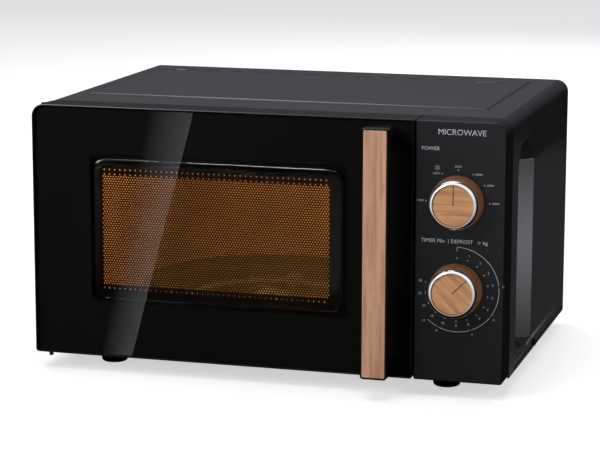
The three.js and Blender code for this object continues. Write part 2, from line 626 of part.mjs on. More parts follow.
// Sliding latch: an upright bar in the door with two hooks that reach through the front frame.
function latchHook() {
  const barFront = front + 9;
  const bar = box(hook.x - hook.thick / 2, hook.x + hook.thick / 2, barFront, barFront + 8,
    latchBottom, hookHeights[1] + 10);
  const hooks = hookHeights.map((z) => {
    const tip = frameBack + 18;
    const low = z - hook.high / 2;
    const profile = outline([[barFront + 4, low + 3], [frameBack + 8, low + 3], [frameBack + 8, low],
      [frameBack + 12, low], [tip, low + 5], [tip, low + hook.high], [barFront + 4, low + hook.high]]);
    return prism("x", profile, hook.x - hook.thick / 2, hook.x + hook.thick / 2);
  });
  return join(bar, ...hooks);
}

// Coil spring that pulls the latch down, as one wire along a helix.
function latchSpring() {
  const bottom = latchBottom - spring.long - touch + spring.wire;
  const rise = spring.long - 2 * spring.wire;
  const points = [];
  const stepsPerTurn = 7;
  const steps = spring.turns * stepsPerTurn;
  for (let i = 0; i <= steps; i++) {
    const angle = (2 * Math.PI * i) / stepsPerTurn;
    points.push(new THREE.Vector3(
      spring.radius * Math.cos(angle), spring.radius * Math.sin(angle), bottom + (rise * i) / steps));
  }
  const path = new THREE.CatmullRomCurve3(points);
  const section = new THREE.Shape();
  section.absarc(0, 0, spring.wire, 0, 2 * Math.PI, false);
  const wire = new THREE.ExtrudeGeometry(section, { extrudePath: path, steps, curveSegments: 3, bevelEnabled: false });
  return solid(wire.translate(hook.x, front + 13, 0));
}

// ---------------------------------------------------------------- control panel and knobs
const panelWall = 2.5;
const knobX = right - 43.5;
const knobZ = { power: fasciaTop - 73, timer: fasciaTop - 153.5 };
const knob = { base: 24.5, neck: 23, ring: 22.4, face: 18.8, gap: 0.8, deep: 17, shaft: 3 };
const control = { half: 22, deep: 42, shaftEnd: 14 };

function controlPanel() {
  const shape = (inset) => rounded(doorRight + doorGap + inset, right - inset,
    fasciaBottom + inset, fasciaTop - inset, { tr: fasciaRadius - inset, br: Math.max(smallRadius - inset, 0.5),
      tl: Math.max(1.5 - inset, 0), bl: Math.max(1.5 - inset, 0) });
  const block = prism("y", shape(0), front, front + fasciaDepth);
  const hollow = prism("y", shape(rimWall), front + panelWall, front + fasciaDepth + 1);
  const shaftHoles = Object.values(knobZ).map((z) =>
    rod("y", knob.shaft + 1.5, -5, 5, [knobX, front, z], 16));
  return cut(block, hollow, ...shaftHoles);
}

// A hollow knob: tapered wall with a shaft socket in the middle.
function knobBody(z) {
  const rear = -knob.gap;
  const face = -knob.deep;
  const profile = [[knob.shaft + 0.2, rear], [knob.shaft + 3, rear], [knob.shaft + 3, face + 4],
    [knob.base - 3.5, face + 4], [knob.base - 2.5, rear], [knob.base, rear], [knob.neck, face],
    [0, face], [0, face + 3], [knob.shaft + 0.2, face + 3]];
  return turned("y", profile, [knobX, front, z], 24);
}

function knobRing(z) {
  const near = -knob.deep - touch;
  const far = near - 4.5;
  const inner = knob.face + touch;
  const profile = [[inner, near], [knob.ring, near], [knob.ring, far + 1.2], [knob.ring - 1.2, far],
    [inner, far]];
  return turned("y", profile, [knobX, front, z], 24);
}

// Disc in the ring, with a groove from the middle to the edge as the pointer.
function knobFace(z, angle) {
  const near = -knob.deep - touch;
  const disc = rod("y", knob.face, near - 3, near, [0, 0, 0], 24);
  const pointer = box(-0.45, 0.45, near - 4, near - 2.4, -1, knob.face - 0.8);
  return cut(disc, pointer.rotate([0, angle, 0])).translate([knobX, front, z]);
}

function knobShaft(z) {
  const tip = front - knob.deep + 3 + touch;
  const flat = box(-5, 5, tip - 1, front - 1, knob.shaft * 0.6, 6).translate([knobX, 0, z]);
  return cut(rod("y", knob.shaft, tip, front + panelWall + control.shaftEnd, [knobX, 0, z], 12), flat);
}

// Switch unit behind the panel, with a hole for its shaft; the timer also has its bell behind it.
function controlUnit(z, withBell) {
  const near = front + panelWall + touch;
  const far = near + control.deep;
  const block = box(knobX - control.half, knobX + control.half, near + 3, far, z - control.half, z + control.half);
  const collar = rod("y", 7, near, near + 4, [knobX, 0, z], 14);
  const bell = turned("y", [[0, 0], [15, 0], [13, 5], [8, 8], [0, 9]], [knobX, far - 0.5, z], 18);
  const hole = rod("y", knob.shaft + touch, near - 1, near + control.shaftEnd + touch, [knobX, 0, z], 16);
  return cut(withBell ? join(block, collar, bell) : join(block, collar), hole);
}

// ---------------------------------------------------------------- door interlock
const latchBoard = { x0: hook.x + hook.thick / 2 + 3.5, thick: 2, long: 34 };
const switchSize = { deep: 20, high: 12, thick: 9 };
const plunger = { radius: 1.2, stand: 2.2, travel: 1.2 };
const switchGap = 0.5; // plunger to hook
// Height of each switch's plunger end, and whether the switch points up or down.
const switchPlaces = {
  primary: [hookHeights[1] - hook.high / 2 - switchGap, 1],
  secondary: [hookHeights[0] + hook.high / 2 + hook.travel + switchGap, -1],
  monitor: [hookHeights[0] - hook.high / 2 - switchGap, 1],
};
const switchX = latchBoard.x0 - touch - switchSize.thick;
const switchY = frameBack + 9;

// Upright board behind the frame with a strike ledge under each hook.
function interlockBoard() {
  const near = frameBack + touch;
  const wall = box(latchBoard.x0, latchBoard.x0 + latchBoard.thick, near, near + latchBoard.long,
    hookHeights[0] - 32, hookHeights[1] + 20);
  const strikes = hookHeights.map((z) => box(hook.x - 4, latchBoard.x0 + 1, near + 1, near + 7,
    z - hook.high / 2 - 4, z - hook.high / 2 - 0.5));
  return join(wall, ...strikes);
}

const plungerCentre = [switchX + switchSize.thick / 2, switchY + 2.5, 0];

// Snap switch drawn below its plunger's end, then turned over if it points down.
function snapSwitch([end, way]) {
  const top = -plunger.stand;
  const body = box(switchX, switchX + switchSize.thick, switchY, switchY + switchSize.deep, top - switchSize.high, top);
  const hole = rod("z", plunger.radius + touch, top - 5, top + 1, plungerCentre, 10);
  const terminals = [3, 10, 17].map((offset) =>
    box(switchX + 3, switchX + 5, switchY + offset - 1, switchY + offset + 1,
      top - switchSize.high - 5, top - switchSize.high + 1));
  return upOrDown(cut(join(body, ...terminals), hole), way).translate([0, 0, end]);
}

function switchPlunger([end, way]) {
  const pin = rod("z", plunger.radius, -plunger.stand - 3, 0, plungerCentre, 10);
  return upOrDown(pin, way).translate([0, 0, end]);
}

const upOrDown = (body, way) => (way > 0 ? body : body.mirror([0, 0, 1]));

// ---------------------------------------------------------------- power supply
const coreBox = { x0: bayLeft + 14, wide: 74, y0: frameBack + 72, deep: 60, high: 66 };

function transformerCore() {
  const z0 = baseTop;
  const { x0, wide, y0, deep, high } = coreBox;
  const stack = box(x0, x0 + wide, y0, y0 + deep, z0, z0 + high);
  const windows = [0, 1].map((i) =>
    box(x0 + 12 + i * 31, x0 + 31 + i * 31, y0 - 1, y0 + deep + 1, z0 + 12, z0 + high - 12));
  const footing = box(x0 - 8, x0 + wide + 8, y0 + 6, y0 + deep - 6, z0, z0 + 2);
  return join(cut(stack, ...windows), footing);
}

// Both coils on the middle limb, wound through the core's two windows.
function transformerWindings() {
  const { x0, wide, y0, deep, high } = coreBox;
  const z0 = baseTop;
  const limbLeft = x0 + 31;
  const limbRight = x0 + 43;
  const lap = 14; // how far the coils stand out at each end of the core
  const coils = [[z0 + 13, z0 + high / 2 - 1], [z0 + high / 2 - 1.5, z0 + high - 13]].map(([low, high2], i) =>
    prism("z", rounded(x0 + 13, x0 + wide - 13, y0 - lap + i, y0 + deep + lap - i, evenly(8)), low, high2, 4));
  const limb = box(limbLeft - touch, limbRight + touch, y0 - touch, y0 + deep + touch, z0, z0 + high);
  return cut(join(...coils), limb);
}

const capacitorBox = { x: bayLeft + 50, y: coreBox.y0 + coreBox.deep + 18, long: 78, thick: 32, high: 50 };

// Oval can, with two blade terminals on its end.
function capacitor() {
  const { x, y, long, thick, high } = capacitorBox;
  const can = prism("x", rounded(y, y + thick, baseTop, baseTop + high, evenly(thick / 2 - 1)),
    x - long / 2, x + long / 2, 5);
  const blades = [-7, 7].map((offset) =>
    box(x + long / 2 - 1, x + long / 2 + 7, y + thick / 2 - 0.5, y + thick / 2 + 0.5,
      baseTop + high / 2 + offset - 3, baseTop + high / 2 + offset + 3));
  return join(can, ...blades);
}

function highVoltageDiode() {
  const { x, y, thick, high } = capacitorBox;
  const bodyRadius = 3.4;
  const z = baseTop + high + touch + bodyRadius;
  const bodyRod = rod("x", bodyRadius, x - 12, x + 12, [0, y + thick / 2, z], 10);
  const leads = rod("x", 0.8, x - 24, x + 24, [0, y + thick / 2, z], 8);
  return join(bodyRod, leads);
}

// ---------------------------------------------------------------- magnetron and its cooling
const fan = { x: (bayLeft + bayRight) / 2, z: cavityTop - 68, radius: 44, deep: 22 };
const shroud = { half: 50, back: rearFace - plate - touch };
const fanFront = shroud.back - 26;
const tube = { back: fanFront - 40, deep: 78, high: 78, top: cavityTop - 6 };
const antenna = { radius: 9.5, y: tube.back - tube.deep / 2, z: tube.top - tube.high / 2 };
const tubeLeft = bayLeft + guide.wide + touch;

function magnetron() {
  const x0 = tubeLeft;
  const x1 = bayRight - 8;
  const y0 = tube.back - tube.deep;
  const z0 = tube.top - tube.high;
  const yoke = box(x0, x1, y0, tube.back, z0, tube.top);
  const open = box(x0 + 4, x1 - 22, y0 + 6, tube.back - 6, z0 - 1, tube.top + 1);
  const anode = rod("x", 17, x0 + 3, x1 - 20, [0, antenna.y, antenna.z], 12);
  const span = x1 - 22 - (x0 + 4);
  const fins = Array.from({ length: 4 }, (_, i) => {
    const x = x0 + 4 + (span * (i + 0.5)) / 4;
    return box(x - 0.5, x + 0.5, y0 + 5, tube.back - 5, z0 + 6, tube.top - 6);
  });
  const filterBox = box(x1 - 23, x1, y0 + 12, tube.back - 12, z0 + 10, tube.top - 10);
  return join(cut(yoke, open), anode, ...fins, filterBox);
}

function magnetronAntenna() {
  const profile = [[0, -20], [6, -20], [antenna.radius - 1, -16], [antenna.radius, -10], [antenna.radius, 0], [0, 0]];
  return turned("x", profile, [tubeLeft - touch, antenna.y, antenna.z], 16);
}

function fanShroud() {
  const y1 = shroud.back;
  const y0 = fanFront;
  const shape = rounded(fan.x - shroud.half, fan.x + shroud.half, fan.z - shroud.half, fan.z + shroud.half, evenly(8));
  const block = prism("y", shape, y0, y1, 3);
  const inner = rounded(fan.x - shroud.half + 2, fan.x + shroud.half - 2, fan.z - shroud.half + 2,
    fan.z + shroud.half - 2, evenly(6));
  const ductHole = rod("y", fan.radius + 3, y0 - 1, y1 + 1, [fan.x, 0, fan.z], 24);
  const hollow = prism("y", inner, y0 + 2, y1 + 1, 3);
  const ring = cut(rod("y", fan.radius + 4.5, y0 + 1, y1, [fan.x, 0, fan.z], 24), ductHole);
  return join(cut(block, hollow, ductHole), ring);
}

function fanBlade() {
  const middle = (fanFront + shroud.back) / 2;
  const hub = rod("y", 11, middle - 7, middle + 7, [0, 0, 0], 16);
  const blades = Array.from({ length: 5 }, (_, i) =>
    box(-9, 9, middle - 0.6, middle + 0.6, 8, fan.radius - 2)
      .translate([0, -middle, 0]).rotate([0, 0, 28]).translate([0, middle, 0]).rotate([0, i * 72, 0]));
  return join(hub, ...blades).translate([fan.x, 0, fan.z]);
}

// Shaded-pole motor on a bracket in front of the shroud.
function fanMotor() {
  const far = fanFront - touch;
  const stack = box(fan.x - 20, fan.x + 20, far - 20, far - 6, fan.z - 26, fan.z + 26);
  const arms = box(fan.x - 4, fan.x + 4, far - 8, far, fan.z - shroud.half + 2, fan.z + shroud.half - 2);
  const coil = prism("x", rounded(far - 28, far - 18, fan.z - 24, fan.z - 4, evenly(4)), fan.x - 15, fan.x + 15, 3);
  const shaft = rod("y", 2, far - 8, (fanFront + shroud.back) / 2 - 8, [fan.x, 0, fan.z], 8);
  return join(stack, arms, coil, shaft);
}

// ---------------------------------------------------------------- oven lamp
const lampY = lampHoles.y + (lampHoles.pitch * (lampHoles.across - 1)) / 2;
const lampZ = lampHoles.z + (lampHoles.pitch * (lampHoles.across - 1)) / 2;

function lampSocket() {
  const holder = box(bayLeft + 26, bayLeft + 40, lampY - 10, lampY + 10, lampZ - 10, lampZ + 10);
  const tab = box(bayLeft, bayLeft + 1.2, lampY + 16, lampY + 28, lampZ - 8, lampZ + 8);
  const arm = box(bayLeft, bayLeft + 40, lampY + 16, lampY + 17.2, lampZ - 8, lampZ + 8);
  const link = box(bayLeft + 30, bayLeft + 40, lampY + 9, lampY + 17, lampZ - 8, lampZ + 8);
  return join(holder, tab, arm, link);
}

function ovenLamp() {
  const profile = [[0, 0], [6.5, 0], [6.5, 5], [11, 12], [11, 18], [7, 23], [0, 24.5]];
  return turned("x", profile, [0, 0, 0], 16).rotate([0, 0, 180]).translate([bayLeft + 26 - touch, lampY, lampZ]);
}

// ---------------------------------------------------------------- assembly
const caseGroup = new THREE.Group();
const doorGroup = new THREE.Group();
const controlsGroup = new THREE.Group();
const turntableGroup = new THREE.Group();
const powerGroup = new THREE.Group();
part.add(caseGroup, doorGroup, controlsGroup, turntableGroup, powerGroup);

place("cabinet_cover", cabinetCover(), coverPaint, caseGroup);
place("side_screw_left", sideScrew(-1), pinSteel, caseGroup);
place("side_screw_right", sideScrew(1), pinSteel, caseGroup);
place("base_plate", basePlate(), chassisSteel, caseGroup);
place("rear_panel", rearPanel(), chassisSteel, caseGroup);
place("front_frame", frontFrame(), framePaint, caseGroup);
place("cavity_liner", cavityLiner(), linerPaint, caseGroup);
place("waveguide_cover", waveguideCover(), mica, caseGroup);
place("cord_bushing", cordBushing(), blackPlastic, caseGroup);
place("hinge_upper", hingePlate(upperHingeZ, false, false), pinSteel, caseGroup);
place("hinge_lower", hingePlate(lowerHingeZ, true, true), pinSteel, caseGroup);
for (const [name, spot] of Object.entries(footPlaces)) place(name, footAt(spot), rubber, caseGroup);

place("door_frame", doorFrame(), doorPlastic, doorGroup);
place("door_glass", doorGlass(), doorGlassFinish, doorGroup);
place("door_screen", doorScreen(), screenPaint, doorGroup);
place("door_choke_cover", chokeCover(), blackPlastic, doorGroup);
place("handle_bar", handleBar(), doorPlastic, doorGroup);
place("handle_inlay", handleInlay(), woodLook, doorGroup);
place("latch_hook", latchHook(), whitePlastic, doorGroup);
place("latch_spring", latchSpring(), pinSteel, doorGroup);

place("control_panel", controlPanel(), fasciaPlastic, controlsGroup);
for (const [name, z] of Object.entries(knobZ)) {
  const pointerAngle = name === "timer" ? 45 : 0;
  place(`${name}_knob`, knobBody(z), woodLook, controlsGroup);
  place(`${name}_knob_ring`, knobRing(z), chrome, controlsGroup);
  place(`${name}_knob_face`, knobFace(z, pointerAngle), woodLook, controlsGroup);
  place(`${name}_shaft`, knobShaft(z), pinSteel, controlsGroup);
}
place("power_selector", controlUnit(knobZ.power, false), blackPlastic, controlsGroup);
place("timer_unit", controlUnit(knobZ.timer, true), castSteel, controlsGroup);
place("interlock_board", interlockBoard(), whitePlastic, controlsGroup);
for (const [name, spot] of Object.entries(switchPlaces)) {
  place(`${name}_switch`, snapSwitch(spot), blackPlastic, controlsGroup);
  place(`${name}_plunger`, switchPlunger(spot), redPlastic, controlsGroup);
}

place("turntable_plate", turntablePlate(), clearGlass, turntableGroup);
place("turntable_coupler", turntableCoupler(), whitePlastic, turntableGroup);
place("roller_ring", rollerRingBody(), whitePlastic, turntableGroup);
rollerAngles.forEach((angle, i) => place(`roller_${i + 1}`, rollerAt(angle), whitePlastic, turntableGroup));
place("turntable_motor", turntableMotor(), pinSteel, turntableGroup);

place("waveguide", waveguide(), chassisSteel, powerGroup);
place("magnetron", magnetron(), chassisSteel, powerGroup);
place("magnetron_antenna", magnetronAntenna(), copper, powerGroup);
place("transformer_core", transformerCore(), castSteel, powerGroup);
place("transformer_windings", transformerWindings(), copper, powerGroup);
place("capacitor", capacitor(), chassisSteel, powerGroup);
place("hv_diode", highVoltageDiode(), blackPlastic, powerGroup);
place("fan_shroud", fanShroud(), blackPlastic, powerGroup);
place("fan_blade", fanBlade(), blackPlastic, powerGroup);
place("fan_motor", fanMotor(), castSteel, powerGroup);
place("lamp_socket", lampSocket(), whitePlastic, powerGroup);
place("oven_lamp", ovenLamp(), clearGlass, powerGroup);

export default part;
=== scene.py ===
import json
import math

import bmesh
import bpy
from mathutils import Matrix, Vector


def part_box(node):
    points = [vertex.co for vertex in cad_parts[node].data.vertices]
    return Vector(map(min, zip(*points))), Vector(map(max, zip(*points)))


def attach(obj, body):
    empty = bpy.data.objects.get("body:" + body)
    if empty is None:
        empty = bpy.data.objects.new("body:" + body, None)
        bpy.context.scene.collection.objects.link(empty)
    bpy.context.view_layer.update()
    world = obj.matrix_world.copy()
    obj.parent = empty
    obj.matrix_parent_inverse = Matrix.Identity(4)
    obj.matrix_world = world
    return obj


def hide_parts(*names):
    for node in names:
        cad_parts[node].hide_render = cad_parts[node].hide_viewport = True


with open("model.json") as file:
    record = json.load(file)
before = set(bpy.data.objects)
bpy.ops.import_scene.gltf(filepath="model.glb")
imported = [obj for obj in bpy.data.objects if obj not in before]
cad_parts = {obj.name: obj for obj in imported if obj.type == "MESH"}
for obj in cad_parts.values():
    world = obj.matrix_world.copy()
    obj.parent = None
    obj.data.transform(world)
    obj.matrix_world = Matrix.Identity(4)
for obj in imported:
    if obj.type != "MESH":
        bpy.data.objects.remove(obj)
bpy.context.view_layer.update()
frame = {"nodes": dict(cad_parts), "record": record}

mm = 0.001
nodes = frame["nodes"]
print("frame loaded:", len(nodes), "nodes")


# Selecting and editing

def pickObjects(*pieces):
    if bpy.context.object and bpy.context.object.mode != "OBJECT":
        bpy.ops.object.mode_set(mode="OBJECT")
    bpy.ops.object.select_all(action="DESELECT")
    for piece in pieces:
        piece.select_set(True)
    if pieces:
        bpy.context.view_layer.objects.active = pieces[0]


def openEdit(piece, whole=False):
    pickObjects(piece)
    bpy.ops.object.mode_set(mode="EDIT")
    bpy.ops.mesh.select_all(action="SELECT" if whole else "DESELECT")


def closeEdit():
    bpy.ops.object.mode_set(mode="OBJECT")


def choose(kind, test):  # selects the VERT, EDGE or FACE parts that pass the test
    bpy.ops.mesh.select_all(action="DESELECT")
    bpy.ops.mesh.select_mode(type=kind)
    shape = bmesh.from_edit_mesh(bpy.context.object.data)
    shape.normal_update()
    for part in {"VERT": shape.verts, "EDGE": shape.edges, "FACE": shape.faces}[kind]:
        if test(part):
            part.select_set(True)
    shape.select_flush_mode()
    bmesh.update_edit_mesh(bpy.context.object.data)


def tidy(piece, reach=0.01 * mm):
    openEdit(piece, whole=True)
    bpy.ops.mesh.remove_doubles(threshold=reach)
    bpy.ops.mesh.dissolve_degenerate(threshold=0.001 * mm)
    bpy.ops.mesh.delete_loose(use_verts=True, use_edges=True, use_faces=False)
    bpy.ops.mesh.select_all(action="SELECT")
    bpy.ops.mesh.normals_make_consistent(inside=False)
    closeEdit()
    return piece


def applyPlace(piece):
    pickObjects(piece)
    bpy.ops.object.transform_apply(location=True, rotation=True, scale=True)
    return piece


def named(name):
    piece = bpy.context.object
    piece.name = piece.data.name = name
    return piece


# Shapes

def block(name, low, high):
    low, high = Vector(low), Vector(high)
    pickObjects()
    bpy.ops.mesh.primitive_cube_add(size=1, location=(low + high) / 2)
    piece = named(name)
    piece.scale = high - low
    return applyPlace(piece)


def lathe(name, axis, centre, profile, steps=64):  # profile: radius and height along the axis, turned all the way
    pickObjects()
    bpy.ops.mesh.primitive_circle_add(vertices=len(profile), radius=1, fill_type="NOTHING")
    piece = named(name)
    openEdit(piece)
    shape = bmesh.from_edit_mesh(piece.data)
    for vert, (radius, height) in zip(shape.verts, profile):
        vert.co = (radius, 0, height)
    bmesh.update_edit_mesh(piece.data)
    bpy.ops.mesh.select_all(action="SELECT")
    bpy.ops.mesh.spin(steps=steps, angle=math.tau, center=(0, 0, 0), axis=(0, 0, 1))
    closeEdit()
    tidy(piece)
    piece.rotation_euler = {"x": (0, math.pi / 2, 0), "y": (-math.pi / 2, 0, 0), "z": (0, 0, 0)}[axis]
    piece.location = centre
    return applyPlace(piece)


def rod(name, axis, centre, radius, start, end, steps=24):
    return lathe(name, axis, centre, [(0, start), (radius, start), (radius, end), (0, end)], steps)


def roundRect(x0, x1, z0, z1, radii, steps=8):  # radii: lower left, lower right, upper right, upper left
    if not isinstance(radii, (list, tuple)):
        radii = [radii] * 4
    corners = [(x0, z0, 1, 1, 180), (x1, z0, -1, 1, 270), (x1, z1, -1, -1, 0), (x0, z1, 1, -1, 90)]
    points = []
    for (x, z, inX, inZ, start), radius in zip(corners, radii):
        radius = max(radius, 0.05 * mm)
        for i in range(steps + 1):
            turn = math.radians(start + 90 * i / steps)
            points.append((x + inX * radius + radius * math.cos(turn), z + inZ * radius + radius * math.sin(turn)))
    return points


def boxOutline(low, high, inset, radii, steps=8):  # the front of a box, pulled in on every side
    return roundRect(low.x + inset, high.x - inset, low.z + inset, high.z - inset, radii, steps)


def upright(y, outline):  # an outline in x and z, stood up at a depth
    return [Vector((x, y, z)) for x, z in outline]


def loft(name, rings, closed=False):  # a circle extruded from ring to ring, each ring shaped as given
    count = len(rings[0])
    pickObjects()
    bpy.ops.mesh.primitive_circle_add(vertices=count, radius=1, fill_type="NOTHING")
    piece = named(name)
    openEdit(piece)
    bpy.ops.mesh.select_mode(type="EDGE")
    bpy.ops.mesh.select_all(action="SELECT")
    shape = bmesh.from_edit_mesh(piece.data)
    order = {}
    for i, vert in enumerate(shape.verts):
        vert.co = rings[0][i]
        order[vert.index] = i
    for ring in rings[1:] + ([rings[0]] if closed else []):
        bmesh.update_edit_mesh(piece.data)
        bpy.ops.mesh.extrude_edges_indiv()
        shape = bmesh.from_edit_mesh(piece.data)
        shape.verts.index_update()
        fresh = {}
        for vert in shape.verts:
            if vert.select:
                before = [e.other_vert(vert) for e in vert.link_edges if not e.other_vert(vert).select][0]
                fresh[vert.index] = order[before.index]
        for vert in shape.verts:
            if vert.select:
                vert.co = ring[fresh[vert.index]]
        order = fresh
    bmesh.update_edit_mesh(piece.data)
    if not closed:
        bpy.ops.mesh.edge_face_add()
        choose("EDGE", lambda edge: edge.verts[0].index < count and edge.verts[1].index < count)
        bpy.ops.mesh.edge_face_add()
    closeEdit()
    return tidy(piece)


def plate(name, y0, y1, outline):
    return loft(name, [upright(y0, outline), upright(y1, outline)])


def joined(name, *pieces):
    pickObjects(*pieces)
    bpy.ops.object.join()
    return named(name)


def addModifier(piece, kind, **settings):
    pickObjects(piece)
    modifier = piece.modifiers.new(kind.lower(), kind)
    for key, value in settings.items():
        setattr(modifier, key, value)
    bpy.ops.object.modifier_apply(modifier=modifier.name)
    return piece


def carve(piece, *cutters, operation="DIFFERENCE", solver="EXACT"):
    for cutter in cutters:
        addModifier(piece, "BOOLEAN", object=cutter, operation=operation, solver=solver)
        bpy.data.objects.remove(cutter)
    return piece


def weld(piece, *others):
    return carve(piece, *others, operation="UNION")


def soften(piece, width, segments=2, angle=35):
    return addModifier(piece, "BEVEL", width=width, segments=segments, limit_method="ANGLE",
                       angle_limit=math.radians(angle), miter_outer="MITER_ARC", harden_normals=False)


def smooth(piece, angle=32):
    pickObjects(piece)
    bpy.ops.object.shade_smooth_by_angle(angle=math.radians(angle))
    return addModifier(piece, "WEIGHTED_NORMAL", keep_sharp=True, weight=60)


def copyNode(node, name, width=0.3 * mm, segments=2):  # a CAD node's shape, flat faces merged and edges eased
    source = nodes[node]
    piece = source.copy()
    piece.data = source.data.copy()
    bpy.context.scene.collection.objects.link(piece)
    piece.parent = None
    piece.matrix_world = Matrix.Identity(4)
    for key in list(piece.keys()):
        del piece[key]
    piece.name = piece.data.name = name
    openEdit(piece, whole=True)
    bpy.ops.mesh.remove_doubles(threshold=0.01 * mm)
    bpy.ops.mesh.customdata_custom_splitnormals_clear()
    bpy.ops.mesh.dissolve_limited(angle_limit=math.radians(0.5))
    bpy.ops.mesh.normals_make_consistent(inside=False)
    closeEdit()
    soften(piece, width, segments)
    return smooth(piece)


def middle(node):
    low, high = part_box(node)
    return (low + high) / 2


# Finishes, named as the record's material slots

finishes = {
    "cover_paint": {
        "colour": (0.016, 0.0165, 0.019), "rough": 0.24, "coat": 0.25, "grain": 750, "bump": 0.035, "vary": 0.10},
    "chassis_steel": {
        "colour": (0.50, 0.51, 0.52), "rough": 0.38, "metal": 0.9,
        "grain": 300, "bump": 0.06, "vary": 0.08, "spangle": 170},
    "frame_paint": {
        "colour": (0.018, 0.018, 0.02), "rough": 0.36, "coat": 0.2, "grain": 700, "bump": 0.08, "vary": 0.12},
    "liner_paint": {
        "colour": (0.30, 0.29, 0.275), "rough": 0.42, "coat": 0.3,
        "grain": 900, "bump": 0.10, "vary": 0.14, "speck": 520},
    "fasteners": {
        "colour": (0.52, 0.52, 0.53), "rough": 0.30, "metal": 1.0, "grain": 1400, "bump": 0.08, "vary": 0.12},
    "mica": {
        "colour": (0.52, 0.44, 0.30), "rough": 0.5, "coat": 0.2,
        "grain": 420, "bump": 0.12, "vary": 0.22, "spangle": 160},
    "black_plastic": {"colour": (0.016, 0.016, 0.017), "rough": 0.5, "grain": 1500, "bump": 0.12, "vary": 0.15},
    "rubber": {"colour": (0.014, 0.014, 0.014), "rough": 0.78, "grain": 1700, "bump": 0.2, "vary": 0.2},
    "fascia_plastic": {"colour": (0.0085, 0.0088, 0.0105), "rough": 0.36, "grain": 1600, "bump": 0.09, "vary": 0.08},
    "door_plastic": {
        "colour": (0.010, 0.010, 0.011), "rough": 0.22, "coat": 0.3, "grain": 1500, "bump": 0.04, "vary": 0.12},
    "white_plastic": {"colour": (0.70, 0.69, 0.65), "rough": 0.45, "grain": 1300, "bump": 0.07, "vary": 0.06},
    "red_plastic": {"colour": (0.34, 0.045, 0.03), "rough": 0.42, "grain": 1300, "bump": 0.07, "vary": 0.1},
    "timer_case": {
        "colour": (0.42, 0.41, 0.38), "rough": 0.36, "metal": 0.85, "grain": 800, "bump": 0.06, "vary": 0.12},
    "chrome": {"colour": (0.86, 0.86, 0.88), "rough": 0.10, "metal": 1.0, "grain": 1800, "bump": 0.015, "vary": 0.03},
    "magnetron_body": {
        "colour": (0.55, 0.56, 0.57), "rough": 0.34, "metal": 0.95,
        "grain": 600, "bump": 0.06, "vary": 0.14, "spangle": 120},
    "core_steel": {
        "colour": (0.13, 0.13, 0.14), "rough": 0.55, "metal": 0.6, "grain": 500, "bump": 0.14, "vary": 0.2},
    "copper": {"colour": (0.45, 0.17, 0.06), "rough": 0.36, "metal": 0.85, "grain": 900, "bump": 0.12, "vary": 0.18},
}


def startMaterial(name):
    material = bpy.data.materials.new(name)
    material.use_nodes = True
    tree = material.node_tree
    place = tree.nodes.new("ShaderNodeTexCoord").outputs["Object"]
    return material, tree, tree.nodes["Principled BSDF"], place


def noise(tree, place, scale, detail=2.0):
    node = tree.nodes.new("ShaderNodeTexNoise")
    node.inputs["Scale"].default_value = scale
    node.inputs["Detail"].default_value = detail
    tree.links.new(place, node.inputs["Vector"])
    return node.outputs["Fac"]


def mixColour(tree, factor, low, high):
    node = tree.nodes.new("ShaderNodeMix")
    node.data_type = "RGBA"
    sockets = [s for s in node.inputs if s.enabled]
    for socket, value in zip(sockets, (factor, low, high)):
        if isinstance(value, bpy.types.NodeSocket):
            tree.links.new(value, socket)
        elif isinstance(value, tuple):
            socket.default_value = (*value, 1)
        else:
            socket.default_value = value
    return [s for s in node.outputs if s.enabled][0]


def mapRange(tree, value, fromLow, fromHigh, toLow, toHigh):
    node = tree.nodes.new("ShaderNodeMapRange")
    tree.links.new(value, node.inputs["Value"])
    for key, number in (("From Min", fromLow), ("From Max", fromHigh), ("To Min", toLow), ("To Max", toHigh)):
        node.inputs[key].default_value = number
    return node.outputs["Result"]


def mathNode(tree, operation, first, second):
    node = tree.nodes.new("ShaderNodeMath")
    node.operation = operation
    for socket, value in zip(node.inputs, (first, second)):
        if isinstance(value, bpy.types.NodeSocket):
            tree.links.new(value, socket)
        else:
            socket.default_value = value
    return node.outputs[0]


def addBump(tree, shader, height, strength, distance=0.08 * mm):
    node = tree.nodes.new("ShaderNodeBump")
    node.inputs["Strength"].default_value = strength
    node.inputs["Distance"].default_value = distance
    tree.links.new(height, node.inputs["Height"])
    tree.links.new(node.outputs["Normal"], shader.inputs["Normal"])


